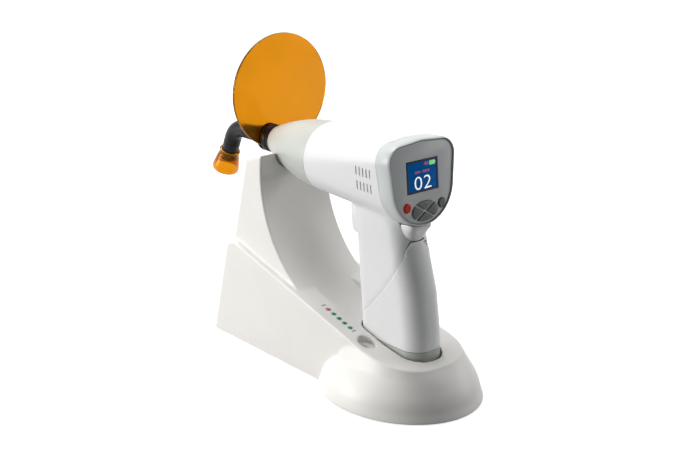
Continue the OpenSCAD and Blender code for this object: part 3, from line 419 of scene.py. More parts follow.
def ring_edges(verts):
    """The edges that join these vertices."""
    chosen = set(verts)
    return list({e for v in verts for e in v.link_edges if e.other_vert(v) in chosen})


def verts_in(geom):
    """The vertices in what an operator returns."""
    return [g for g in geom if isinstance(g, bmesh.types.BMVert)]


def edges_in(geom):
    """The edges in what an operator returns."""
    return [g for g in geom if isinstance(g, bmesh.types.BMEdge)]


def clean(bm):
    """Merges doubles and points the faces outwards."""
    bmesh.ops.remove_doubles(bm, verts=bm.verts, dist=1e-4)
    bmesh.ops.recalc_face_normals(bm, faces=bm.faces)
    return bm


def lofted(bm, rings):
    """Bridges rings of vertices in order and closes both ends."""
    loops = [ring_edges(verts) for verts in rings]
    for low, high in zip(loops[:-1], loops[1:]):
        bmesh.ops.bridge_loops(bm, edges=low + high)
    for end in (loops[0], loops[-1]):
        bmesh.ops.contextual_create(bm, geom=end)
    return clean(bm)


def hull(bm):
    """The convex hull of all the vertices of a bmesh."""
    made = bmesh.ops.convex_hull(bm, input=bm.verts)
    spare = {g for key in ("geom_interior", "geom_unused") for g in made[key]}
    bmesh.ops.delete(bm, geom=verts_in(spare), context="VERTS")
    loose = [e for e in bm.edges if not e.link_faces]
    bmesh.ops.delete(bm, geom=loose, context="EDGES")
    bmesh.ops.dissolve_limit(bm, angle_limit=math.radians(0.2), verts=bm.verts, edges=bm.edges)
    return clean(bm)


def side_prism(points, width):
    """A side view drawn in X and Z, extruded to a width along Y."""
    bm = bmesh.new()
    verts = [bm.verts.new((x, -width / 2, z)) for x, z in points]
    face = bm.faces.new(verts)
    made = bmesh.ops.extrude_face_region(bm, geom=[face])
    bmesh.ops.translate(bm, verts=verts_in(made["geom"]), vec=(0, width, 0))
    return clean(bm)


def box(low, high, bevel=0.0, steps=3):
    """A block between two corners with rounded edges."""
    bm = bmesh.new()
    size = [b - a for a, b in zip(low, high)]
    middle = [(a + b) / 2 for a, b in zip(low, high)]
    place = Matrix.Translation(middle) @ Matrix.Diagonal((*size, 1))
    bmesh.ops.create_cube(bm, size=1.0, matrix=place)
    if bevel:
        rounded(bm, bm.edges, bevel, steps)
    return bm


def rounded(bm, edges, offset, segments=4):
    """Bevels edges with a round profile."""
    bmesh.ops.bevel(
        bm,
        geom=list(edges),
        offset=offset,
        offset_type="OFFSET",
        affect="EDGES",
        segments=segments,
        profile=0.5,
        clamp_overlap=True,
        material=-1,
    )
    return bm


def rod(radius, depth, place, segments=64):
    """A capped cylinder that starts at a place and runs along its Z."""
    bm = bmesh.new()
    bmesh.ops.create_cone(
        bm,
        cap_ends=True,
        segments=segments,
        radius1=radius,
        radius2=radius,
        depth=depth,
        matrix=place @ up(depth / 2),
    )
    return bm


def turned(profile, place, steps=96):
    """Spins a closed profile of (radius, height) about the Z of a place."""
    bm = bmesh.new()
    verts = [bm.verts.new((r, 0, h)) for r, h in profile]
    edges = [bm.edges.new((a, b)) for a, b in zip(verts, verts[1:] + verts[:1])]
    bmesh.ops.spin(
        bm,
        geom=verts + edges,
        cent=(0, 0, 0),
        axis=(0, 0, 1),
        angle=2 * math.pi,
        steps=steps,
        use_merge=True,
    )
    return clean(placed(bm, place))


def handle_ring(bm, x, z, half, grow=0.0):
    """The circles whose hull is the handle's plan at a height, with its round back."""
    body = sizes("body")
    front = (body.handle_r - half, body.handle_r)
    back = (half + REAR_REACH - body.rear_r, body.rear_r)
    for along, radius in (front, back):
        for s in (-1, 1):
            corner = (x + along, s * (body.handle_w / 2 - radius), z)
            ring(bm, radius + grow, Matrix.Translation(corner))


def flat_edges(bm, place, height):
    """The edges that lie in the plane at a height over a place."""
    back = place.inverted()
    return [e for e in bm.edges if all(abs((back @ v.co).z - height) < 0.02 for v in e.verts)]


def merged(*parts):
    """Several bmeshes put together as they are."""
    whole = bmesh.new()
    for bm in parts:
        mesh = bpy.data.meshes.new("part")
        bm.to_mesh(mesh)
        whole.from_mesh(mesh)
        bpy.data.meshes.remove(mesh)
        bm.free()
    return whole


def linked_object(name, data):
    """A new object in the scene that shows some data."""
    obj = bpy.data.objects.new(name, data)
    bpy.context.scene.collection.objects.link(obj)
    return obj


def mesh_object(bm, name="scratch"):
    """An object whose mesh is a bmesh, which is used up."""
    mesh = bpy.data.meshes.new(name)
    bm.to_mesh(mesh)
    bm.free()
    return linked_object(name, mesh)


def settled(obj):
    """What a passing object shows with its modifiers, as a bmesh; the object goes."""
    bpy.context.view_layer.update()
    graph = bpy.context.evaluated_depsgraph_get()
    mesh = bpy.data.meshes.new_from_object(obj.evaluated_get(graph), depsgraph=graph)
    bm = bmesh.new()
    bm.from_mesh(mesh)
    bpy.data.meshes.remove(mesh)
    data = obj.data
    bpy.data.objects.remove(obj)
    store = bpy.data.meshes if isinstance(data, bpy.types.Mesh) else bpy.data.curves
    store.remove(data)
    return bm


def combined(bm, tool, operation="DIFFERENCE"):
    """Cuts or joins one closed bmesh with another."""
    before = bm.calc_volume()
    base, other = mesh_object(bm), mesh_object(tool, "tool")
    mod = base.modifiers.new("combine", "BOOLEAN")
    mod.operation, mod.solver, mod.object = operation, "MANIFOLD", other
    made = settled(base)
    bpy.data.meshes.remove(other.data)
    if not made.verts or abs(made.calc_volume() - before) < 1e-3:
        raise RuntimeError(f"{operation.lower()} changed nothing")
    return made


def softened(bm, voxel, rounds):
    """Remeshes a solid on a grid and smooths it, which rounds every moulded edge."""
    obj = mesh_object(bm)
    mod = obj.modifiers.new("grid", "REMESH")
    mod.mode, mod.voxel_size, mod.use_smooth_shade = "VOXEL", voxel, True
    made = settled(obj)
    return smoothed(made, made.verts, rounds)


def thinned(bm, limit):
    """Thins a fine mesh out, most where it is flat, to a number of triangles."""
    obj = mesh_object(bm)
    mod = obj.modifiers.new("thin", "DECIMATE")
    mod.ratio = min(1.0, limit / (2 * len(obj.data.polygons)))
    return settled(obj)


def walled(bm, wall):
    """Gives an open skin its wall, on the inside."""
    obj = mesh_object(bm)
    mod = obj.modifiers.new("wall", "SOLIDIFY")
    mod.thickness, mod.offset, mod.use_rim = wall, -1.0, True
    return settled(obj)


def smoothed(bm, verts, rounds):
    """Evens out vertices towards their neighbours, some rounds over."""
    verts = list(verts)
    for _ in range(rounds):
        bmesh.ops.smooth_vert(
            bm, verts=verts, factor=0.5, use_axis_x=True, use_axis_y=True, use_axis_z=True
        )
    return bm


def trimmed(bm, point, normal, gap, chamfer, above=-1.0):
    """Keeps the side of a plane that its normal points to, less a gap, with a chamfer along the cut.

    What lies under the height above stays whole.
    """
    normal = Vector(normal).normalized()
    point = Vector(point)
    if above > 0:
        whole = bm.verts[:] + bm.edges[:] + bm.faces[:]
        bmesh.ops.bisect_plane(
            bm, geom=whole, dist=1e-5, plane_co=(0, 0, above), plane_no=(0, 0, 1)
        )
    for offset, clear in ((gap + chamfer, False), (gap, True)):
        verts = [v for v in bm.verts if v.co.z > above - 1e-4]
        chosen = set(verts)
        edges = [e for e in bm.edges if chosen.issuperset(e.verts)]
        faces = [f for f in bm.faces if chosen.issuperset(f.verts)]
        bmesh.ops.bisect_plane(
            bm,
            geom=verts + edges + faces,
            dist=1e-5,
            plane_co=point + normal * offset,
            plane_no=normal,
            clear_inner=clear,
        )
    bm.normal_update()
    for v in bm.verts:
        if v.is_boundary and abs((v.co - point).dot(normal) - gap) < 1e-3:
            inward = v.normal - normal * v.normal.dot(normal)
            if inward.length > 1e-6:
                v.co -= inward.normalized() * chamfer * 0.8
    return bm


def sunk(bm, point, normal, depth, reach):
    """Sinks a skin gently towards the plane that it ends at."""
    bm.normal_update()
    normal, point = Vector(normal).normalized(), Vector(point)
    for v in bm.verts:
        away = (v.co - point).dot(normal)
        if away < reach:
            v.co -= v.normal * depth * (1 - max(away, 0.0) / reach) ** 2
    return bm


def piece(name, bm, body, material, replaces=()):
    """Brings a bmesh to the part's frame as a finished piece that rides on a body."""
    placed(bm, PART)
    for face in bm.faces:
        face.smooth = True
    for edge in bm.edges:
        edge.smooth = edge.is_manifold and edge.calc_face_angle(0.0) < SHARP
    obj = mesh_object(bm, name)
    obj.data.materials.append(material)
    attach(obj, body)
    if replaces:
        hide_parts(*replaces)
    return obj


def node_group(name, inputs, outputs):
    """A new shader node group with its named sockets, and its input and output nodes."""
    group = bpy.data.node_groups.new(name, "ShaderNodeTree")
    for kind, label, value in inputs:
        made = group.interface.new_socket(label, in_out="INPUT", socket_type="NodeSocket" + kind)
        if value is not None:
            made.default_value = value
    for kind, label in outputs:
        group.interface.new_socket(label, in_out="OUTPUT", socket_type="NodeSocket" + kind)
    return group, group.nodes.new("NodeGroupInput"), group.nodes.new("NodeGroupOutput")


def linked(tree, kind, values=None, **links):
    """A new node with its values and links set by socket name."""
    made = tree.nodes.new(kind)
    for key, value in (values or {}).items():
        if hasattr(made, key):
            setattr(made, key, value)
        else:
            made.inputs[key].default_value = value
    for label, source in links.items():
        tree.links.new(source, made.inputs[label.replace("_", " ")])
    return made


def tone_group():
    """Slow drift between two shades of one colour."""
    name = "tone drift"
    if name in bpy.data.node_groups:
        return bpy.data.node_groups[name]
    group, start, end = node_group(
        name,
        [
            ("Vector", "Vector", None),
            ("Float", "Scale", 30.0),
            ("Color", "Shade", None),
            ("Color", "Tint", None),
        ],
        [("Color", "Colour")],
    )
    source = start.outputs
    noise = linked(
        group, "ShaderNodeTexNoise", {"Detail": 4.0}, Vector=source["Vector"], Scale=source["Scale"]
    )
    steep = linked(
        group, "ShaderNodeMapRange", {"From Min": 0.3, "From Max": 0.7}, Value=noise.outputs["Fac"]
    )
    mix = linked(
        group,
        "ShaderNodeMix",
        {"data_type": "RGBA"},
        Factor=steep.outputs["Result"],
        A=source["Shade"],
        B=source["Tint"],
    )
    group.links.new(mix.outputs["Result"], end.inputs["Colour"])
    return group


def grain_group():
    """Fine moulded grain: a height for the bump, and a roughness that drifts slowly."""
    name = "moulded grain"
    if name in bpy.data.node_groups:
        return bpy.data.node_groups[name]
    group, start, end = node_group(
        name,
        [
            ("Vector", "Vector", None),
            ("Float", "Scale", 1500.0),
            ("Float", "Rough Low", 0.35),
            ("Float", "Rough High", 0.5),
        ],
        [("Float", "Height"), ("Float", "Roughness")],
    )
    source = start.outputs
    fine = linked(
        group,
        "ShaderNodeTexNoise",
        {"Detail": 3.0, "Roughness": 0.6},
        Vector=source["Vector"],
        Scale=source["Scale"],
    )
    slow = linked(group, "ShaderNodeTexNoise", {"Scale": 55.0, "Detail": 5.0}, Vector=source["Vector"])
    spread = linked(
        group,
        "ShaderNodeMapRange",
        {"From Min": 0.3, "From Max": 0.7},
        Value=slow.outputs["Fac"],
        To_Min=source["Rough Low"],
        To_Max=source["Rough High"],
    )
    group.links.new(fine.outputs["Fac"], end.inputs["Height"])
    group.links.new(spread.outputs["Result"], end.inputs["Roughness"])
    return group


def moulded(name, colour, **constants):
    """A surface with a slow drift of shade, fine grain and varied gloss; each is made once."""
    if name in bpy.data.materials:
        return bpy.data.materials[name]
    rough_low, rough_high, grain, depth, drift = SURFACES[name]
    shade = (*[c * (1 - drift) for c in colour], 1)
    light = (*[min(1.0, c * (1 + drift * 0.6)) for c in colour], 1)
    material = bpy.data.materials.new(name)
    material.use_nodes = True
    tree = material.node_tree
    shader = tree.nodes["Principled BSDF"]
    place = tree.nodes.new("ShaderNodeTexCoord").outputs["Object"]
    tone = linked(
        tree,
        "ShaderNodeGroup",
        {"node_tree": tone_group(), "Scale": 38.0, "Shade": shade, "Tint": light},
        Vector=place,
    )
    grainy = linked(
        tree,
        "ShaderNodeGroup",
        {"node_tree": grain_group(), "Scale": grain, "Rough Low": rough_low, "Rough High": rough_high},
        Vector=place,
    )
    bump = linked(
        tree,
        "ShaderNodeBump",
        {"Strength": 0.6, "Distance": depth * MICRON},
        Height=grainy.outputs["Height"],
    )
    tree.links.new(tone.outputs["Colour"], shader.inputs["Base Color"])
    tree.links.new(grainy.outputs["Roughness"], shader.inputs["Roughness"])
    tree.links.new(bump.outputs["Normal"], shader.inputs["Normal"])
    for socket, value in constants.items():
        shader.inputs[socket.replace("_", " ")].default_value = value
    return material


def coordinates(tree):
    """The object coordinates of a surface's material."""
    return next(n for n in tree.nodes if n.type == "TEX_COORD").outputs["Object"]


def toned(tree):
    """The drifting colour of a surface's material."""
    drifts = tone_group()
    tone = next(n for n in tree.nodes if n.type == "GROUP" and n.node_tree == drifts)
    return tone.outputs["Colour"]


def metal(name, colour, stretch=(1.0, 1.0, 18.0)):
    """A drawn or turned metal with fine lines."""
    material = moulded(name, colour, Metallic=1.0)
    tree = material.node_tree
    turn = linked(tree, "ShaderNodeMapping", {"Scale": stretch}, Vector=coordinates(tree))
    for made in [n for n in tree.nodes if n.type == "GROUP"]:
        tree.links.new(turn.outputs["Vector"], made.inputs["Vector"])
    return material


def amber_plastic(name, colour):
    """Clear orange plastic that lets the light through."""
    return moulded(
        name,
        colour,
        Transmission_Weight=0.94,
        IOR=1.46,
        Specular_IOR_Level=0.08,
        Specular_Tint=(1.0, 0.6, 0.1, 1.0),
    )


def glowing(name, colour, strength, **constants):
    """A surface that gives off some of its own colour."""
    return moulded(
        name, colour, Emission_Color=(*colour, 1), Emission_Strength=strength, **constants
    )


class MakeStand(bpy.types.Operator):
    """Moulded shell of the charging stand with its cradle, channel, well and dome"""

    bl_idname = "curing_light.make_stand"
    bl_label = "Stand shell"

    def low_end(self, grow):
        """Lower end of the outer form, or of the inner one, which cuts through it."""
        return SKIRT_Z if grow == 0 else SKIRT_Z - 2

    def hollow(self, grow):
        """Radius of the tower's concave front, and the height of its centre over the handle's front."""
        reach = FOOT_FRONT_X - TOWER_FRONT_X
        sink = 0.3
        return reach - grow, deck_at(FOOT_FRONT_X) + reach - sink

    def block(self, stand, grow):
        """Rear block under the deck, with its top corner and its rails' edges rounded."""
        front = HANDLE_X + 5
        low = self.low_end(grow)
        lean, slope = math.tan(stand.back_lean), math.tan(stand.deck_slope)
        rise = TOWER_REAR_Z - stand.deck_z - slope * HANDLE_X
        corner_x = (TIP_X - lean * rise) / (1 + lean * slope)
        drop = grow / math.cos(stand.deck_slope)
        bm = side_prism(
            [
                (back_at(low) - grow / math.cos(stand.back_lean), low),
                (front, low),
                (front, deck_at(front) + drop),
                (corner_x - grow, deck_at(corner_x - grow) + drop),
            ],
            stand.block_w + 2 * grow,
        )
        near, over = corner_x + 6, 40
        corner = [e for e in bm.edges if all(v.co.x < near and v.co.z > over for v in e.verts)]
        rounded(bm, corner, stand.back_r, 10)
        if grow == 0:
            bm.normal_update()
            lips = [
                e
                for e in bm.edges
                if any(abs(f.normal.y) > 0.9 for f in e.link_faces)
                and any(f.normal.z > 0.5 and abs(f.normal.y) < 0.1 for f in e.link_faces)
            ]
            rounded(bm, lips, stand.edge, 2)
        return bm

    def tower(self, stand, grow, top):
        """Tower with the concave front that runs out into the deck."""
        reach, centre_z = self.hollow(grow)
        low, inset = 30.0, 1.5 - grow
        rise = TOWER_TOP_Z - top - centre_z
        start = math.asin(max(-1.0, min(1.0, rise / reach)))
        bm = bmesh.new()
        first = bm.verts.new((FOOT_FRONT_X - reach * math.cos(start), 0, centre_z + rise))
        bmesh.ops.spin(
            bm,
            geom=[first],
            cent=(FOOT_FRONT_X, 0, centre_z),
            axis=(0, 1, 0),
            angle=-(QUARTER + start),
            steps=40,
        )
        arc = [(v.co.x, v.co.z) for v in bm.verts]
        bm.free()
        rear = [
            (FOOT_FRONT_X, low),
            (back_at(low) + inset, low),
            (back_at(TOWER_REAR_Z - top) + inset, TOWER_REAR_Z - top),
        ]
        return side_prism(arc + rear, stand.tower_w + 2 * grow)

    def dome(self, stand, grow):
        """Round front foot, lofted from ovals up to the tilted rim."""
        # Half length, half width, height and fullness of each oval
        levels = (
            (58.1, 49.6, self.low_end(grow), 2.0),
            (57.5, 49.4, 1.8, 2.0),
            (56.6, 49.0, 3.8, 2.0),
            (55.6, 48.4, 6.2, 2.0),
            (54.3, 47.3, 10.0, 2.02),
            (52.5, 45.5, 14.0, 2.05),
            (50.1, 42.9, 18.0, 2.1),
            (47.3, 39.9, 22.0, 2.2),
            (44.6, 37.4, 25.0, 2.35),
        )
        rim_b, rim_n = stand.block_w / 2 - 0.3, 2.6
        tilt = math.atan((stand.deck_z - stand.rim_z) / stand.rim_reach)
        rim_a = stand.rim_reach / math.cos(tilt)
        bm = bmesh.new()
        rings = oval_stack(bm, curved(levels, 4), HANDLE_X, grow)
        for spread, sink in ((0.4, 0.6), (0.0, 0.0)):
            middle = Matrix.Translation((HANDLE_X, 0, stand.deck_z + grow - sink))
            place = middle @ Matrix.Rotation(tilt, 4, "Y")
            rings.append(oval_ring(bm, rim_a + spread + grow, rim_b + spread + grow, rim_n, place))
        return lofted(bm, rings)

    def whole(self, stand, grow=0.0, top=0.0):
        """Block, tower and dome joined, with the channel sunk between the rails."""
        reach, centre_z = self.hollow(grow)
        width = stand.channel_w - 2 * grow
        place = Matrix.Translation((FOOT_FRONT_X, width / 2, centre_z)) @ ALONG_Y
        block = combined(self.block(stand, grow), rod(reach, width, place, 256))
        bm = combined(block, self.tower(stand, grow, top), "UNION")
        return combined(bm, self.dome(stand, grow), "UNION")

    def well(self, grow, low):
        """Well that takes the handle's foot, open at the top."""
        gap, over = 0.5, 60.0
        bm = bmesh.new()
        for z in (low, over):
            handle_ring(bm, HANDLE_X + gap, z, sizes("body").foot_l / 2 + gap, gap + grow)
        return hull(bm)

    def meter(self, grow, depth):
        """Oval recess of the light meter."""
        over = 6.0
        bm = bmesh.new()
        place = on_deck(METER_X, RAIL_Y)
        for height in (-depth, over):
            oval_ring(bm, METER_A + grow, METER_B + grow, 2.0, place @ up(height), 64)
        return hull(bm)

    def cradle(self):
        """Space that the nose and the hub take in the tower's top."""
        steps, gap, past = 16, 0.7, 40.0
        hub_r = sizes("guide").hub_r
        nose_l = SEAM_X - TIP_X
        runs = [nose_l * i / steps for i in range(steps + 1)]
        skin = [(max(nose_at(SEAM_X - run), hub_r) + gap, run) for run in runs]
        end = [(hub_r + gap, nose_l + past), (0.0, nose_l + past)]
        return turned([(0.0, 0.0)] + skin + end, on_axis(SEAM_X), 128)

    def holes(self):
        """Holes for the lights, the power inlet and the charge pins."""
        lens_gap, inlet_r, pin_r = 0.15, 4.2, 1.5
        through = 9.0
        made = [rod(LENS_R + lens_gap, through, at_light(i) @ up(-7.0), 32) for i in range(LIGHT_N)]
        behind = Matrix.Translation((back_at(INLET_Z) - 2, 0, INLET_Z))
        made.append(rod(inlet_r, through, behind @ ALONG_X, 48))
        for x in (HANDLE_X - PIN_REACH, HANDLE_X + PIN_REACH):
            made.append(rod(pin_r, 6.0, Matrix.Translation((x, 0, WELL_Z - 4)), 32))
        return merged(*made)

    def execute(self, context):
        stand = sizes("stand")
        rounds, most_faces = 4, 150000
        bm = combined(self.whole(stand), self.cradle())
        bm = combined(bm, self.well(0.35, WELL_Z))
        bm = combined(bm, self.meter(0.2, METER_DEPTH))
        bm = thinned(softened(bm, stand.voxel, rounds), most_faces)
        inner = self.whole(stand, -stand.wall, nose_at(TOWER_FRONT_X) + 2 * stand.wall - 3)
        inner = combined(inner, self.well(stand.wall, WELL_Z - stand.wall))
        inner = combined(inner, self.meter(1.6, METER_DEPTH + 2.8))
        bm = combined(bm, inner)
        bm = combined(bm, self.holes())
        colour = context.scene.curing_light_finish.stand
        skin = moulded("stand plastic", colour, Specular_IOR_Level=0.3)
        piece("stand_moulding", bm, "stand", skin, ["stand_shell"])
        return {"FINISHED"}


def outline(bm, grow, height):
    """The circles whose hull is the bezel's outline, at a height over the panel."""
    panel = sizes("panel")
    segments = 96
    place = on_panel() @ up(height)
    ring(bm, panel.low_r + grow, place, 2 * segments)
    ring(bm, panel.arch_r + grow, place @ Matrix.Translation((0, panel.arch_z, 0)), 2 * segments)
    for s in (-1, 1):
        corner = Matrix.Translation((s * panel.corner_x, panel.corner_z, 0))
        ring(bm, panel.corner_r + grow, place @ corner, segments)


def plate(*levels):
    """A solid between bezel outlines, each given as how far it is grown and its height."""
    bm = bmesh.new()
    for grow, height in levels:
        outline(bm, grow, height)
    return hull(bm)


def latch_form(grow):
    """Latch that flares from the handle's back to a lip under the bezel."""
    # Half length, half width, height and fullness of each oval
    levels = (
        (8.9, 7.2, 105.2 - grow, 2.2),
        (9.8, 8.0, 106.0 - grow, 2.3),
        (11.2, 8.9, 110.2 - grow, 3.2),
        (12.9, 9.4, 113.3 - grow, 4.5),
        (13.3, 9.6, 113.9 - grow, 5.0),
        (13.3, 9.6, 119.0, 5.0),
    )
    bezel_gap = 0.4 - grow
    bm = bmesh.new()
    bm = lofted(bm, oval_stack(bm, levels, LATCH_X, grow, 96))
    front = box((-40.0, -20.0, 100.0), (LATCH_X - 4 * grow, 20.0, 125.0))
    return combined(combined(bm, front), plate((bezel_gap, -30.0), (bezel_gap, 3.0)))


class MakeBody(bpy.types.Operator):
    """Two body halves, battery housing and foot cap, cut from one moulded form"""

    bl_idname = "curing_light.make_body"
    bl_label = "Body shells"

    # Place along X, height and outer end of each screw's post in the right half
    screws = ((-79.8, 128.0, 17.4), (-36.08, 161.0, 15.0), (-34.0, 70.1, 13.0))

    def form(self, body):
        """Barrel and handle as one closed solid with a soft junction."""
        barrel = bmesh.new()
        taper = (body.barrel_r - body.nose_r) / (MID_X - SEAM_X)
        past = 4.0
        for x, r in ((SEAM_X - past, body.nose_r - past * taper), (MID_X, body.barrel_r)):
            ring(barrel, r, Matrix.Translation((x, 0, AXIS_Z)) @ ALONG_X, 160)
        outline(barrel, 0.0, past - sizes("panel").depth)
        foot, grip = bmesh.new(), bmesh.new()
        for z in (0.0, 27.0):
            handle_ring(foot, HANDLE_X, FOOT_Z + z, body.foot_l / 2)
        # Shift, height over the foot and half length of each slice of the grip
        slices = (
            (0.0, 26.9, body.foot_l / 2),
            (-body.grip_shift, 54.0, body.grip_l / 2),
            (-body.neck_shift, 110.0, body.neck_l / 2),
        )
        for x, z, half in slices:
            handle_ring(grip, HANDLE_X + x, FOOT_Z + z, half, -0.005)
        bm = combined(hull(foot), hull(grip), "UNION")
        bm = combined(hull(barrel), bm, "UNION")
        bm = softened(bm, body.voxel, 8)
        self.blend(body, bm)
        return bm

    def blend(self, body, bm):
        """Softens the junction of barrel and handle, in zones that close in on it."""
        neck_x, under_z = HANDLE_X - body.neck_shift, AXIS_Z - body.barrel_r
        half_l, half_w, half_h, rounds = 20, 14, 3, 14
        for margin in (10.0, 8.0, 6.0, 4.0):
            near = [
                v
                for v in bm.verts
                if abs(v.co.x - neck_x) < half_l + margin
                and abs(v.co.y) < half_w + margin
                and abs(v.co.z - under_z) < half_h + margin
            ]
            smoothed(bm, near, rounds)

    def seam(self, body):
        """A point on the seam over the battery, and its normal."""
        normal = (-math.sin(body.seam_angle), 0, math.cos(body.seam_angle))
        return (HANDLE_X, 0, BATTERY_SEAM_Z), normal

    def seam_at(self, z):
        """Place along X of the seam over the battery, which turns upright towards the back."""
        slant, upright, turn = 0.93 * (z - 50.0) - 38.0, -3.2, 10.2
        return (slant + upright - math.hypot(slant - upright, turn)) / 2

    def bent(self, bm, body, way):
        """Shifts a bmesh along X so that the curved seam lies in a plane, or back again."""
        for v in bm.verts:
            plane_x = HANDLE_X + (v.co.z - BATTERY_SEAM_Z) / math.tan(body.seam_angle)
            v.co.x += way * (plane_x - self.seam_at(v.co.z))

    def posts(self, bm):
        """Adds the screws' posts and sinks their wells."""
        inner, floor, through = 5.0, 0.4, 40.0
        post_r, well_r = 3.3, 2.3
        wells = []
        for x, z, outer in self.screws:
            place = Matrix.Translation((x, inner, z)) @ Matrix.Rotation(-QUARTER, 4, "X")
            bm = combined(bm, rod(post_r, outer - inner, place, 48), "UNION")
            wells.append(rod(well_r, through, place @ up(floor), 48))
        return combined(bm, merged(*wells))

    def openings(self, side):
        """Air slots in the barrel's side and the slot for the trigger."""
        rows, columns, first_x, pitch = (7.0, -2.5), 5, -19.95, 3.3
        half_w, half_h = 0.55, 2.9
        low, high = sorted((side * 16.0, side * 36.0))
        slots = []
        for z in (AXIS_Z + row for row in rows):
            for x in (first_x - pitch * i for i in range(columns)):
                slot = box((x - half_w, low, z - half_h), (x + half_w, high, z + half_h), 0.5, 4)
                slots.append(slot)
        slots.append(box((-61.0, -8.1, 98.7), (-44.0, 8.1, 125.2), 0.8))
        return merged(*slots)

    def half(self, body, form, side):
        """One body half with its wall, slots and screw wells."""
        gap, chamfer = body.seam_gap, body.seam_chamfer
        panel = on_panel()
        bm = form.copy()
        trimmed(bm, (SEAM_X, 0, AXIS_Z), (1, 0, 0), gap, chamfer * 0.6)
        bezel_end = panel @ Vector((0, 0, -sizes("panel").depth))
        trimmed(bm, bezel_end, -panel.to_3x3().col[2], gap, chamfer * 0.6, BEZEL_LOW)
        self.bent(bm, body, 1)
        trimmed(bm, *self.seam(body), 0.0, 0.0)
        sunk(bm, *self.seam(body), 0.5, 4.0)
        self.bent(bm, body, -1)
        trimmed(bm, (0, 0, 0), (0, side, 0), gap * 0.6, chamfer * 0.5)
        bm = walled(bm, body.wall)
        if side > 0:
            bm = self.posts(bm)
        bm = combined(bm, self.openings(side))
        return combined(bm, latch_form(0.2))

    def case(self, body, form):
        """Battery housing between the seam, the latch and the foot cap."""
        point, normal = self.seam(body)
        step = 0.6
        bm = form.copy()
        self.bent(bm, body, 1)
        trimmed(bm, point, [-n for n in normal], 0.0, step)
        self.bent(bm, body, -1)
        trimmed(bm, (0, 0, LATCH_LOW), (0, 0, -1), 0.0, 0.0)
        trimmed(bm, (0, 0, CAP_TOP), (0, 0, 1), body.seam_gap, body.seam_chamfer)
        return walled(bm, body.wall)

    def cap(self, body, form):
        """Foot cap with the openings over its contact pads."""
        trimmed(form, (0, 0, CAP_TOP), (0, 0, -1), body.seam_gap, body.seam_chamfer)
        places = [Matrix.Translation((HANDLE_X + s * PIN_REACH, 0, FOOT_Z - 1)) for s in (-1, 1)]
        return combined(walled(form, body.wall), merged(*[rod(4.0, 4.0, p) for p in places]))

    def execute(self, context):
        body = sizes("body")
        finish = context.scene.curing_light_finish
        white = moulded("body plastic", finish.body)
        grey = moulded("foot plastic", finish.foot)
        form = self.form(body)
        for side, name in ((-1, "left"), (1, "right")):
            bm = self.half(body, form, side)
            piece(f"body_half_{name}", bm, "handpiece", white, [f"shell_{name}"])
        case = self.case(body, form)
        piece("battery_case", case, "handpiece", white, ["battery_housing"])
        cap = self.cap(body, form)
        piece("foot_band", cap, "handpiece", grey, ["foot_cap"])
        return {"FINISHED"}


class MakeNose(bpy.types.Operator):
    """Nose cone with its spigot for the shield and its socket for the guide"""

    bl_idname = "curing_light.make_nose"
    bl_label = "Nose cone"

    def execute(self, context):
        body = sizes("body")
        l, lip = body.nose_l, 0.3
        skin_steps, bore_steps = 40, 24
        spigot_r, spigot_l, edge = 8.0, 6.0, 0.4
        socket_r, socket_l, sleeve_r = 6.15, 20.0, 8.3
        hollow_l = l - 12.0
        runs = [l * i / skin_steps for i in range(1, skin_steps)]
        skin = [(body.nose_r - lip, 0.0), (body.nose_r - 0.02, lip)]
        skin += [(nose_at(SEAM_X - run), run) for run in runs]
        tip = [
            (body.nose_tip_r + 0.1, l - 0.5),
            (body.nose_tip_r - edge, l),
            (spigot_r, l),
            (spigot_r, l + spigot_l - edge),
            (spigot_r - edge, l + spigot_l),
            (socket_r, l + spigot_l),
            (socket_r, l - socket_l),
            (sleeve_r, l - socket_l),
        ]
        runs = [hollow_l * i / bore_steps for i in range(bore_steps, -1, -1)]
        bore = [(max(nose_at(SEAM_X - run) - body.wall, sleeve_r), run) for run in runs]
        bm = turned(skin + tip + bore, on_axis(SEAM_X), 144)
        grey = moulded("nose plastic", context.scene.curing_light_finish.nose)
        piece("nose_shell", bm, "handpiece", grey, ["nose_cone"])
        return {"FINISHED"}


def sector(panel, turn, low, high, grow=0.0, soft=0.0):
    """One quarter of the oval direction key, cut out along the oval's diagonals."""
    half_w, half_h = panel.dpad_w / 2, panel.dpad_h / 2
    gap = panel.dpad_gap / 2 - grow
    levels = ((low, 0.0), (high - soft, 0.0), (high - soft * 0.3, soft * 0.35), (high, soft))
    bm = bmesh.new()
    for height, shrink in levels:
        oval_ring(bm, half_w + grow - shrink, half_h + grow - shrink, 2.0, up(height), 96)
    hull(bm)
    away = Vector((math.cos(turn), math.sin(turn), 0))
    for s in (-1, 1):
        cut = Vector((half_h, s * half_w, 0)).normalized()
        if cut.dot(away) < 0:
            cut = -cut
        bmesh.ops.bisect_plane(
            bm,
            geom=bm.verts[:] + bm.edges[:] + bm.faces[:],
            plane_co=cut * gap,
            plane_no=cut,
            clear_inner=True,
        )
        bmesh.ops.holes_fill(bm, edges=[e for e in bm.edges if e.is_boundary])
    clean(bm)
    if soft:
        lips = [
            e
            for e in bm.edges
            if e.is_manifold
            and e.calc_face_angle(0.0) > math.radians(60)
            and all(v.co.z > low + 0.5 for v in e.verts)
        ]
        rounded(bm, lips, soft * 0.5, 3)
    return placed(bm, on_panel() @ Matrix.Translation(DPAD_AT))


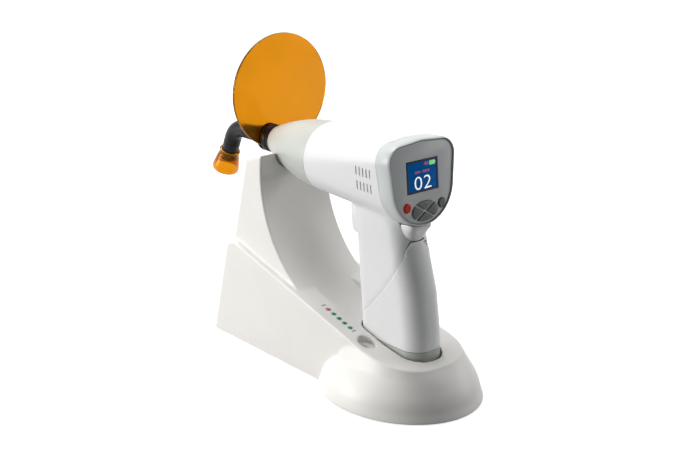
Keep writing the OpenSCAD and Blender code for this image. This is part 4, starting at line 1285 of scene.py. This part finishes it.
class MakePanel(bpy.types.Operator):
    """Bezel, a dark ring whose colour paints the shade between bezel and panel, and the panel film with
    its openings
    """

    bl_idname = "curing_light.make_panel"
    bl_label = "Bezel and panel"

    def bezel(self, panel, floor):
        """Bezel ring with its rounded front edge and the recess for the panel."""
        rim, back = -panel.rim, -panel.depth
        edge = ((0.0, -2.9), (-0.1, -1.7), (-0.3, -0.85), (-0.55, -0.35), (-0.85, 0.0))
        bm = plate((-0.25, back + 0.05), (0.0, back + 0.4), *edge)
        bm = combined(bm, plate((rim, floor), (rim, 1.0)))
        bm = combined(bm, plate((rim - 0.1, -0.35), (rim + 0.3, 0.05)))
        return combined(bm, plate((rim - 0.5, back - 1), (rim - 0.5, floor + 0.5)))

    def shade_ring(self, panel, floor):
        """Thin dark ring between the bezel and the panel film, whose colour paints the shade of the
        groove there.
        """
        outer, inner = -panel.rim - 0.03, -panel.rim - 0.75
        bm = plate((outer, floor + 0.02), (outer, -panel.sink - 0.3))
        return combined(bm, plate((inner, floor - 1), (inner, 1.0)))

    def film(self, panel, floor):
        """Panel film with the openings for the display and the keys."""
        place, low, high = on_panel(), floor - 1, floor + 6
        edge = -panel.rim - 0.7
        bm = plate((edge, floor + 0.02), (edge, -panel.sink))
        rounded(bm, flat_edges(bm, place, -panel.sink), 0.25, 2)
        half_w, half_h = panel.lcd_w / 2 + 0.1, panel.lcd_h / 2 + 0.1
        window = box((-half_w, panel.lcd_up - half_h, low), (half_w, panel.lcd_up + half_h, high))
        holes = [placed(window, place)]
        for at, r in ((POWER_AT, POWER_R), (MODE_AT, MODE_R)):
            holes.append(rod(r + KEY_GAP, 8.0, place @ Matrix.Translation(at) @ up(low), 64))
        holes += [sector(panel, i * QUARTER, low, high, 0.2) for i in range(4)]
        return combined(bm, merged(*holes))

    def execute(self, context):
        panel = sizes("panel")
        finish = context.scene.curing_light_finish
        floor = -panel.sink - panel.thick
        light = moulded("bezel plastic", finish.bezel)
        piece("bezel_ring", self.bezel(panel, floor), "handpiece", light, ["bezel"])
        # Dark ring whose colour paints the shade in the groove around the panel
        dark = moulded("panel shade ring", finish.shade_ring)
        piece("panel_shade_ring", self.shade_ring(panel, floor), "handpiece", dark)
        grey = moulded("panel film", finish.panel)
        film = self.film(panel, floor)
        piece("panel_film", film, "handpiece", grey, ["control_panel"])
        return {"FINISHED"}


class MakeKeys(bpy.types.Operator):
    """Power key, mode key and the four sectors of the direction key"""

    bl_idname = "curing_light.make_keys"
    bl_label = "Keys"

    def round_key(self, at, radius, top):
        """A round key with a soft edge and a shallow dish."""
        profile = [
            (0.0, KEY_FOOT),
            (radius, KEY_FOOT),
            (radius, top - 0.5),
            (radius - 0.12, top - 0.2),
            (radius - 0.42, top),
            (radius * 0.6, top - 0.02),
            (0.0, top - 0.16),
        ]
        return turned(profile, on_panel() @ Matrix.Translation(at), 64)

    def surround(self, at, radius, rim, low):
        """A thin ring on the panel around a round key."""
        inner = radius + KEY_GAP
        outer, high = inner + rim, low + 0.2
        profile = [(inner, low), (outer, low), (outer - 0.15, high), (inner + 0.1, high)]
        return turned(profile, on_panel() @ Matrix.Translation(at), 64)

    def arrow(self, panel, turn, top):
        """A small raised arrow on a sector."""
        reach = panel.dpad_w * 0.33 if abs(math.cos(turn)) > 0.5 else panel.dpad_h * 0.32
        place = on_panel() @ Matrix.Translation(DPAD_AT) @ Matrix.Rotation(turn, 4, "Z")
        place = place @ Matrix.Translation((reach, 0, top - 0.1))
        bm = rod(1.25, 0.16, place, 3)
        bmesh.ops.scale(bm, vec=(0.8, 1.0, 1.0), space=place.inverted(), verts=bm.verts)
        return bm

    def bars(self, top):
        """Two small raised bars on the mode key."""
        half_l, half_w, away, high = 1.0, 0.16, 0.55, 0.2
        made = []
        for y in (-away, away):
            made.append(box((-half_l, y - half_w, 0.0), (half_l, y + half_w, high), 0.08, 2))
        return placed(merged(*made), on_panel() @ Matrix.Translation(MODE_AT) @ up(top - high))

    def execute(self, context):
        panel = sizes("panel")
        finish = context.scene.curing_light_finish
        top, face = panel.key_proud - panel.sink, -panel.sink - 0.05
        red = moulded("power key", finish.red_key, Specular_IOR_Level=0.2)
        rubber = moulded("key rubber", finish.key)
        mark = moulded("key marks", finish.key_mark)
        halo = moulded("key surround", finish.surround)
        power = self.round_key(POWER_AT, POWER_R, top)
        piece("power_key", power, "power_button", red, ["power_button"])
        mode = self.round_key(MODE_AT, MODE_R, top)
        piece("mode_key", mode, "mode_button", rubber, ["mode_button"])
        around = self.surround(POWER_AT, POWER_R, 0.95, face)
        piece("power_surround", around, "handpiece", halo)
        around = self.surround(MODE_AT, MODE_R, 0.6, face)
        piece("mode_surround", around, "handpiece", mark)
        for i, name in enumerate(("right", "up", "left", "down")):
            turn = i * QUARTER
            body = f"dpad_{name}"
            key = sector(panel, turn, KEY_FOOT, top, 0.0, 0.45)
            piece(f"{body}_key", key, body, rubber, [body])
            piece(f"{body}_mark", self.arrow(panel, turn, top), body, mark)
        piece("mode_key_mark", self.bars(top), "mode_button", mark)
        return {"FINISHED"}


class MakeDisplay(bpy.types.Operator):
    """Display with its dark frame, blue screen, number and small marks"""

    bl_idname = "curing_light.make_display"
    bl_label = "Display"

    # Rows of marks from the screen's middle: lower and upper edge, and the ends of each mark
    mark_rows = (
        (1.9, 3.3, ((-6.0, -4.5), (-4.0, -2.5), (0.2, 1.7), (2.2, 3.7), (4.2, 5.7))),
        (2.4, 2.8, ((-2.1, -0.9),)),
        (6.2, 7.9, ((2.0, 3.1), (3.6, 4.7))),
    )
    charge_rows = ((5.6, 8.3, ((6.0, 10.6),)), (6.4, 7.5, ((10.65, 11.2),)))

    def screen(self, colour):
        """Blue screen with a fine grid of dots."""
        material = moulded("display screen", colour, Specular_IOR_Level=0.02, Emission_Strength=0.65)
        tree = material.node_tree
        shader = tree.nodes["Principled BSDF"]
        dots = linked(
            tree,
            "ShaderNodeTexVoronoi",
            {"voronoi_dimensions": "3D", "feature": "F1", "Scale": 2600.0, "Randomness": 0.0},
            Vector=coordinates(tree),
        )
        fade = linked(
            tree,
            "ShaderNodeMapRange",
            {"From Min": 0.0, "From Max": 0.7, "To Min": 1.0, "To Max": 0.75},
            Value=dots.outputs["Distance"],
        )
        mix = linked(
            tree,
            "ShaderNodeMix",
            {"data_type": "RGBA", "blend_type": "MULTIPLY", "Factor": 1.0},
            A=toned(tree),
            B=fade.outputs["Result"],
        )
        for socket in ("Base Color", "Emission Color"):
            tree.links.new(mix.outputs["Result"], shader.inputs[socket])
        return material

    def number(self, text, width, height):
        """A number of a given size as a thin solid, centred on the origin."""
        curve = bpy.data.curves.new("number", "FONT")
        curve.body, curve.align_x, curve.align_y = text, "CENTER", "CENTER"
        curve.size, curve.extrude, curve.resolution_u = height, 0.03, 6
        curve.offset, curve.space_character = -0.1, 1.04
        bm = settled(linked_object("number", curve))
        low = Vector([min(v.co[i] for v in bm.verts) for i in range(3)])
        high = Vector([max(v.co[i] for v in bm.verts) for i in range(3)])
        bmesh.ops.translate(bm, verts=bm.verts, vec=-(low + high) / 2)
        scale = (width / (high.x - low.x), height / (high.y - low.y), 1)
        bmesh.ops.scale(bm, verts=bm.verts, vec=scale)
        return clean(bm)

    def marks(self, rows, face_z, place):
        """Thin bars on the screen."""
        bars = [
            box((left, low, face_z), (right, high, face_z + 0.06), 0.02, 2)
            for low, high, spans in rows
            for left, right in spans
        ]
        return placed(merged(*bars), place)

    def execute(self, context):
        panel = sizes("panel")
        finish = context.scene.curing_light_finish
        place = on_panel() @ Matrix.Translation((0, panel.lcd_up, 0))
        floor, top = -panel.sink - panel.thick + 0.3, -panel.sink + 0.2
        half_w, half_h = panel.lcd_w / 2, panel.lcd_h / 2
        edge, face_z, gap = 1.15, top - 0.25, 0.02
        open_w, open_h = half_w - edge, half_h - edge
        bm = box((-half_w, -half_h, floor), (half_w, half_h, top))
        rounded(bm, flat_edges(bm, Matrix.Identity(4), top), 0.18, 3)
        bm = combined(bm, box((-open_w, -open_h, face_z - 0.3), (open_w, open_h, top + 1)))
        dark = moulded("display frame", finish.screen_frame, Specular_IOR_Level=0.2)
        piece("display_frame", placed(bm, place), "handpiece", dark, ["lcd_window"])
        pane_w, pane_h = open_w - gap, open_h - gap
        pane = box((-pane_w, -pane_h, face_z - 0.25), (pane_w, pane_h, face_z), 0.03, 2)
        blue = self.screen(finish.screen)
        piece("display_screen", placed(pane, place), "handpiece", blue)

        white = glowing("screen white", finish.screen_white, 0.7)
        red = glowing("screen red", finish.screen_red, 0.5)
        green = glowing("screen green", finish.screen_green, 0.7)
        at = place @ Matrix.Translation((0.2, -4.2, face_z + 0.04))
        number = placed(self.number("02", 13.8, 8.1), at)
        piece("display_number", number, "handpiece", white)
        marks = self.marks(self.mark_rows, face_z, place)
        piece("display_marks", marks, "handpiece", red)
        charge = self.marks(self.charge_rows, face_z, place)
        piece("display_charge", charge, "handpiece", green)
        return {"FINISHED"}


class MakeTrigger(bpy.types.Operator):
    """Trigger paddle under the barrel and the latch under the bezel"""

    bl_idname = "curing_light.make_trigger"
    bl_label = "Trigger and latch"

    # Side view of the paddle from its pin, along X and up
    paddle = (
        (-10.0, -3.4),
        (-9.4, -10.0),
        (-8.6, -18.0),
        (-7.2, -20.8),
        (-5.4, -21.5),
        (-2.7, -21.5),
        (0.3, -17.5),
        (0.3, 0.0),
        (-0.6, 2.9),
        (-3.0, 2.4),
    )

    def execute(self, context):
        finish = context.scene.curing_light_finish
        x, z = TRIGGER_AT
        width, pin_r, pin_l = 15.0, 1.55, 20.0
        bm = side_prism([(x + px, z + pz) for px, pz in self.paddle], width)
        rounded(bm, bm.edges, 0.9, 4)
        pin = Matrix.Translation((x, pin_l / 2, z)) @ ALONG_Y
        bm = combined(bm, rod(pin_r, pin_l, pin, 48))
        white = moulded("body plastic", finish.body)
        piece("trigger_paddle", bm, "trigger", white, ["trigger"])

        tab = softened(latch_form(0.0), 0.35, 4)
        grey = moulded("latch plastic", finish.latch)
        piece("latch_tab", tab, "battery_latch", grey, ["battery_latch"])
        return {"FINISHED"}


class MakeGuide(bpy.types.Operator):
    """Bent light guide in its black jacket, and the clear tip cone"""

    bl_idname = "curing_light.make_guide"
    bl_label = "Light guide and tip cone"

    def groove(self, width):
        """Runs and scales of the three steps of a groove around the jacket."""
        slope, depth = 0.3, 0.045
        return [(slope, 1 - depth), (width, 1.0), (slope, 1 / (1 - depth))]

    def pushed(self, bm, edges, way, steps):
        """Extrudes a ring of edges one way, step by step, and scales each new ring."""
        for run, grow in steps:
            made = bmesh.ops.extrude_edge_only(bm, edges=edges)
            verts = verts_in(made["geom"])
            bmesh.ops.translate(bm, verts=verts, vec=way * run)
            middle = sum((v.co for v in verts), Vector()) / len(verts)
            place = Matrix.Translation(-middle)
            bmesh.ops.scale(bm, vec=(grow, grow, grow), space=place, verts=verts)
            edges = edges_in(made["geom"])
        return edges

    def sleeve(self, guide, bend_x, ahead, tip_way):
        """Jacket from the socket in the nose, around the bend, to the tip."""
        start_x = TIP_X + 20.0
        straight, past_groove = start_x - bend_x, 6.5
        bm = bmesh.new()
        start = ring(bm, guide.guide_r, Matrix.Translation((start_x, 0, AXIS_Z)) @ ALONG_X, 72)
        steps = [(straight - 8.0, 1.0), *self.groove(0.9), (past_groove, 1.0)]
        edges = self.pushed(bm, ring_edges(start), ahead, steps)
        made = bmesh.ops.spin(
            bm,
            geom=edges + list({v for e in edges for v in e.verts}),
            cent=(bend_x, 0, AXIS_Z - guide.bend_r),
            axis=(0, 1, 0),
            angle=-guide.bend,
            steps=28,
        )
        steps = [(2.0, 1.0), *self.groove(0.7), (guide.end_l - 3.8, 1.0), (0.5, 0.95)]
        self.pushed(bm, edges_in(made["geom_last"]), tip_way, steps)
        return walled(clean(bm), guide.guide_r - guide.core_r)

    def cone(self, guide, place):
        """Tip cone with the bead at its top and its thin flared wall."""
        l, inner = guide.cone_l, guide.guide_r + 0.05
        profile = [
            (inner, 0.0),
            (7.0, 0.0),
            (7.5, 0.35),
            (7.55, 0.9),
            (7.25, 1.5),
            (7.5, 3.0),
            (8.6, 8.5),
            (9.45, 13.2),
            (9.85, l - 0.5),
            (9.7, l - 0.12),
            (9.4, l),
            (9.05, l - 0.15),
            (8.7, 13.2),
            (7.8, 8.5),
            (6.7, 5.0),
            (inner, 4.2),
        ]
        return turned(profile, place, 96)

    def execute(self, context):
        guide = sizes("guide")
        finish = context.scene.curing_light_finish
        run = guide.bend_r * math.tan(guide.bend / 2)
        corner_x = TIP_X - guide.reach
        ahead = Vector((-1, 0, 0))
        tip_way = Vector((-math.cos(guide.bend), 0, -math.sin(guide.bend)))
        sleeve = self.sleeve(guide, corner_x + run, ahead, tip_way)
        black = moulded("guide jacket", finish.black, Specular_IOR_Level=0.14)
        piece("guide_sleeve", sleeve, "light_guide", black, ["guide_jacket"])

        bend_end = Vector((corner_x, 0, AXIS_Z)) + tip_way * run
        mouth = bend_end + tip_way * (guide.end_l - guide.cone_lap)
        place = Matrix.Translation(mouth) @ tip_way.to_track_quat("Z", "Y").to_matrix().to_4x4()
        amber = amber_plastic("tip cone amber", finish.amber)
        piece("tip_cone_shell", self.cone(guide, place), "tip_cone", amber, ["tip_cone"])
        return {"FINISHED"}


class MakeShield(bpy.types.Operator):
    """Clear shield disc between its black hub and clamp ring"""

    bl_idname = "curing_light.make_shield"
    bl_label = "Light shield"

    def hub(self, guide, end):
        """Hub on the nose's spigot, with the neck that carries the disc and the clamp ring."""
        r, l = guide.hub_r, guide.hub_l
        spigot_r, spigot_l = 8.06, 6.2
        neck_r, bore_r = 7.4, 6.5
        profile = [
            (spigot_r, 0.0),
            (r - 1.0, 0.0),
            (r - 0.7, 0.3),
            (r - 0.7, 2.4),
            (r - 0.3, 2.8),
            (r, 3.2),
            (r, l - 0.4),
            (r - 0.4, l),
            (neck_r, l),
            (neck_r, end - 0.3),
            (neck_r - 0.3, end),
            (bore_r, end),
            (bore_r, spigot_l),
            (spigot_r, spigot_l),
        ]
        return turned(profile, on_axis(HUB_X), 96)

    def clamp(self, guide, low, high):
        """Clamp ring behind the disc."""
        r, bore_r = guide.hub_r, 7.43
        profile = [
            (bore_r, low),
            (r - 0.3, low),
            (r, low + 0.3),
            (r, high - 0.4),
            (r - 0.4, high),
            (bore_r, high),
        ]
        return turned(profile, on_axis(HUB_X), 96)

    def disc(self, guide):
        """Disc with rounded edges, swivelled about the bore that sits on the hub."""
        disc_x, bore_r = HUB_X - guide.hub_l, 7.45
        middle = Matrix.Translation((disc_x - 0.05, 0, AXIS_Z))
        swivel = middle @ Matrix.Rotation(-guide.swivel, 4, "X")
        place = swivel @ up(guide.disc_offset) @ Matrix.Rotation(-QUARTER, 4, "Y")
        bm = rod(guide.disc_r, guide.disc_t, place, 192)
        for height in (0.0, guide.disc_t):
            rounded(bm, flat_edges(bm, place, height), 0.5, 4)
        return combined(bm, rod(bore_r, 10.0, on_axis(disc_x + 3), 96))

    def execute(self, context):
        guide = sizes("guide")
        finish = context.scene.curing_light_finish
        low = guide.hub_l + guide.disc_slot
        high = low + guide.clamp_t
        black = moulded("guide jacket", finish.black)
        hub, clamp = self.hub(guide, high), self.clamp(guide, low, high)
        piece("shield_collar", hub, "shield", black, ["shield_hub"])
        piece("shield_ring", clamp, "shield", black, ["shield_clamp"])
        amber = amber_plastic("shield amber", finish.amber)
        piece("shield_plate", self.disc(guide), "shield", amber, ["shield_disc"])
        return {"FINISHED"}


class MakeLights(bpy.types.Operator):
    """Indicator lenses, printed ticks and the meter's window on the near rail"""

    bl_idname = "curing_light.make_lights"
    bl_label = "Indicators and meter"

    def lens(self, i):
        """A domed lens on its light pipe."""
        foot = -8.4
        dome = [(LENS_R, -0.1), (1.25, 0.12), (0.9, 0.32), (0.45, 0.42), (0.0, 0.45)]
        return turned([(0.0, foot), (LENS_R, foot), *dome], at_light(i), 40)

    def rim(self, i):
        """A ring around a lens, whose pale tint paints the glow that the lit lamp spills around it."""
        inner, outer, foot = 1.48, 2.1, -0.6
        top = [(outer, 0.02), (1.95, 0.12), (1.6, 0.12), (inner, 0.0)]
        return turned([(inner, foot), (outer, foot), *top], at_light(i), 40)

    def ticks(self):
        """Printed ticks at both ends of the row of lights."""
        half_w, half_l = 0.42, 1.7
        made = []
        for x in (-67.9, -37.2):
            bm = box((-half_w, -half_l, -0.2), (half_w, half_l, 0.05), 0.02, 1)
            made.append(placed(bm, on_deck(x, RAIL_Y)))
        return merged(*made)

    def window(self):
        """Oval window at the bottom of the meter's recess."""
        bm = bmesh.new()
        place = on_deck(METER_X, RAIL_Y)
        for drop, shrink in ((1.2, 0.1), (0.15, 0.1), (0.0, 0.25)):
            low = place @ up(-METER_DEPTH - drop)
            oval_ring(bm, METER_A - shrink, METER_B - shrink, 2.0, low, 64)
        return hull(bm)

    def execute(self, context):
        finish = context.scene.curing_light_finish
        red = glowing("red lens", finish.red_lamp, 0.25, Coat_Weight=0.5)
        green = glowing("green lens", finish.green_lamp, 0.25, Coat_Weight=0.5)
        piece("lens_red", self.lens(0), "stand", red, ["red_light"])
        lenses = merged(*[self.lens(i) for i in range(1, LIGHT_N)])
        piece("lenses_green", lenses, "stand", green, ["green_lights"])
        # The rims' pale tints paint the lamps' glow around the lenses
        red_glow, green_glow = moulded("red glow rim", finish.red_glow), moulded("green glow rim", finish.green_glow)
        piece("lens_glow_rim_red", self.rim(0), "stand", red_glow)
        rims = merged(*[self.rim(i) for i in range(1, LIGHT_N)])
        piece("lens_glow_rims_green", rims, "stand", green_glow)
        printed = moulded("printed ticks", finish.print_blue)
        piece("scale_ticks", self.ticks(), "stand", printed)
        pale = moulded("meter window", finish.meter, Coat_Weight=0.3)
        piece("meter_pane", self.window(), "stand", pale, ["meter_window"])
        return {"FINISHED"}


class FinishInside(bpy.types.Operator):
    """Finishes of the pieces that keep their solids"""

    bl_idname = "curing_light.finish_inside"
    bl_label = "Inner pieces and base"

    def board(self, colour, track):
        """Green circuit board with lighter tracks."""
        material = moulded("circuit board", colour)
        tree = material.node_tree
        tracks = linked(
            tree,
            "ShaderNodeTexVoronoi",
            {"feature": "DISTANCE_TO_EDGE", "Scale": 260.0, "Randomness": 0.4},
            Vector=coordinates(tree),
        )
        line = linked(
            tree,
            "ShaderNodeMapRange",
            {"From Min": 0.03, "From Max": 0.05},
            Value=tracks.outputs["Distance"],
        )
        mix = linked(
            tree,
            "ShaderNodeMix",
            {"data_type": "RGBA", "A": (*track, 1)},
            Factor=line.outputs["Result"],
            B=toned(tree),
        )
        shader = tree.nodes["Principled BSDF"]
        tree.links.new(mix.outputs["Result"], shader.inputs["Base Color"])
        return material

    def execute(self, context):
        finish = context.scene.curing_light_finish
        steel = metal("screw steel", finish.steel)
        gold = metal("contact gold", finish.gold)
        aluminium = metal("sink aluminium", finish.aluminium, (14.0, 1.0, 1.0))
        board = self.board(finish.board, finish.track)
        dark = moulded("dark moulding", finish.moulding)
        rubber = moulded("pad rubber", finish.rubber)
        base = moulded("base plastic", [0.86 * c for c in finish.stand])
        clear = moulded("clear glass", finish.glass, Transmission_Weight=1.0, IOR=1.5)
        wrap = moulded("cell wrap", finish.wrap)
        looks = {
            steel: "base_screws board_screws body_screws inlet_pin trigger_pin trigger_spring "
            "charge_spring_front charge_spring_rear",
            gold: "charge_pin_front charge_pin_rear contact_pads led_emitter",
            aluminium: "heat_sink",
            board: "charger_board light_board keypad_board main_board",
            dark: "contact_block inlet_housing meter_sensor lcd_module key_switches trigger_switch "
            "fan_frame fan_rotor",
            rubber: "rubber_feet",
            base: "base_plate",
            clear: "collimator_lens guide_core",
            wrap: "battery_cell",
        }
        for material, names in looks.items():
            for name in names.split():
                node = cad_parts[name]
                node.data.materials.clear()
                node.data.materials.append(material)
        return {"FINISHED"}


class CURING_LIGHT_PT_sidebar(bpy.types.Panel):
    """Lists the operators that model the curing light"""

    bl_idname = "CURING_LIGHT_PT_sidebar"
    bl_label = "Curing Light"
    bl_space_type = "VIEW_3D"
    bl_region_type = "UI"
    bl_category = "Curing Light"

    def draw(self, context):
        for cls in OPERATORS:
            self.layout.operator(cls.bl_idname)
        for name in GROUPS:
            group = getattr(context.scene, PREFIX + name)
            column = self.layout.column(heading=name.title())
            for field in group.__annotations__:
                column.prop(group, field)


class MakeStage(bpy.types.Operator):
    """Pale floor, soft studio lamps and the camera at the photograph's view"""

    bl_idname = "curing_light.make_stage"
    bl_label = "Stage"

    def shown(self, tree):
        """A value that is 1 for rays of the camera, and for those through glass and off gloss."""
        rays = tree.nodes.new("ShaderNodeLightPath").outputs
        value = rays["Is Camera Ray"]
        for name in ("Is Glossy Ray", "Is Transmission Ray"):
            most = linked(tree, "ShaderNodeMath", {"operation": "MAXIMUM"})
            tree.links.new(value, most.inputs[0])
            tree.links.new(rays[name], most.inputs[1])
            value = most.outputs[0]
        return value

    def mixed(self, tree, shown, plain, bright, end):
        """Leads one shader to the rays that light the object and another to those that show it."""
        mix = tree.nodes.new("ShaderNodeMixShader")
        tree.links.new(shown, mix.inputs["Fac"])
        tree.links.new(plain, mix.inputs[1])
        tree.links.new(bright, mix.inputs[2])
        tree.links.new(mix.outputs["Shader"], tree.nodes[end].inputs["Surface"])

    def pale(self):
        """Floor that shows white, whitest far from the object, and still takes its shadow."""
        material = bpy.data.materials.new("pale floor")
        material.use_nodes = True
        tree = material.node_tree
        shader = tree.nodes["Principled BSDF"]
        shader.inputs["Roughness"].default_value = 0.9
        shader.inputs["Specular IOR Level"].default_value = 0.1
        shown = self.shown(tree)
        albedo = linked(tree, "ShaderNodeMapRange", {"To Min": 0.27, "To Max": 0.4}, Value=shown)
        tree.links.new(albedo.outputs["Result"], shader.inputs["Base Color"])
        place = tree.nodes.new("ShaderNodeTexCoord").outputs["Object"]
        far = linked(tree, "ShaderNodeVectorMath", {"operation": "LENGTH"})
        tree.links.new(place, far.inputs[0])
        share = linked(
            tree,
            "ShaderNodeMapRange",
            {"From Min": 0.2, "From Max": 0.6, "To Min": 0.78, "To Max": 1.0},
            Value=far.outputs["Value"],
        )
        glow = linked(
            tree, "ShaderNodeEmission", {"Color": (1, 1, 1, 1)}, Strength=share.outputs["Result"]
        )
        both = tree.nodes.new("ShaderNodeAddShader")
        tree.links.new(shader.outputs["BSDF"], both.inputs[0])
        tree.links.new(glow.outputs["Emission"], both.inputs[1])
        self.mixed(tree, shown, shader.outputs["BSDF"], both.outputs["Shader"], "Material Output")
        return material

    def floor(self):
        """Wide floor under the stand."""
        bm = bmesh.new()
        bmesh.ops.create_grid(bm, x_segments=2, y_segments=2, size=6.0)
        obj = mesh_object(bm, "floor")
        obj.data.materials.append(self.pale())

    def world(self, scene):
        """White surroundings that light the object more softly than they show."""
        world = bpy.data.worlds.new("studio")
        scene.world = world
        world.use_nodes = True
        tree = world.node_tree
        white = tree.nodes["Background"]
        white.inputs["Color"].default_value = (1, 1, 1, 1)
        white.inputs["Strength"].default_value = 1.0
        soft = linked(
            tree, "ShaderNodeBackground", {"Color": (0.97, 0.98, 1.0, 1), "Strength": 0.05}
        )
        plain, bright = soft.outputs["Background"], white.outputs["Background"]
        self.mixed(tree, self.shown(tree), plain, bright, "World Output")

    def lamp(self, name, place, target, size, power, colour=(1, 1, 1)):
        """A soft square lamp that points at a target, in metres and watts."""
        data = bpy.data.lights.new(name, "AREA")
        data.shape, data.size, data.energy, data.color = "SQUARE", size, power, colour
        obj = linked_object(name, data)
        obj.location = place
        obj.rotation_mode = "QUATERNION"
        obj.rotation_quaternion = (Vector(target) - Vector(place)).to_track_quat("-Z", "Y")

    def camera(self, scene):
        """The photograph's view, for a picture of 690 by 460."""
        yaw, pitch = math.radians(40.2), math.radians(18.4)
        level = math.cos(pitch)
        ahead = Vector((-level * math.cos(yaw), level * math.sin(yaw), -math.sin(pitch)))
        data = bpy.data.cameras.new("camera")
        data.sensor_fit, data.sensor_width, data.lens = "HORIZONTAL", 36.0, 67.4
        data.clip_start, data.clip_end = 0.01, 50.0
        obj = linked_object("camera", data)
        obj.location = PART @ Vector((544.5, -522.8, 363.8))
        obj.rotation_mode = "QUATERNION"
        obj.rotation_quaternion = ahead.to_track_quat("-Z", "Y")
        scene.camera = obj

    def execute(self, context):
        scene = context.scene
        scene.view_settings.view_transform = "Standard"
        self.floor()
        self.world(scene)
        middle, low = (0.0, 0.0, 0.09), (0.0, 0.0, 0.05)
        self.lamp("key lamp", (-0.85, -1.3, 0.25), middle, 0.9, 28.0, (1.0, 0.99, 0.97))
        self.lamp("top lamp", (-0.42, 0.05, 1.4), low, 0.95, 22.5)
        self.lamp("rim lamp", (0.7, 1.2, 0.5), middle, 0.7, 6.5)
        self.camera(scene)
        return {"FINISHED"}


OPERATORS = (
    MakeStage,
    MakeStand,
    MakeLights,
    MakeBody,
    MakeNose,
    MakePanel,
    MakeDisplay,
    MakeKeys,
    MakeTrigger,
    MakeGuide,
    MakeShield,
    FinishInside,
)
GROUPS = {
    "stand": StandSizes,
    "body": BodySizes,
    "panel": PanelSizes,
    "guide": GuideSizes,
    "finish": Finishes,
}
CLASSES = (*GROUPS.values(), *OPERATORS, CURING_LIGHT_PT_sidebar)


def register():
    """Registers the classes and hangs the groups of sizes on the scene."""
    for cls in CLASSES:
        bpy.utils.register_class(cls)
    for name, cls in GROUPS.items():
        setattr(bpy.types.Scene, PREFIX + name, PointerProperty(type=cls))


def unregister():
    """Takes away what register made."""
    for name in GROUPS:
        delattr(bpy.types.Scene, PREFIX + name)
    for cls in reversed(CLASSES):
        bpy.utils.unregister_class(cls)


def main():
    """Builds the whole scene."""
    register()
    for cls in OPERATORS:
        getattr(bpy.ops.curing_light, cls.bl_idname.split(".")[1])()


if __name__ == "__main__":
    main()
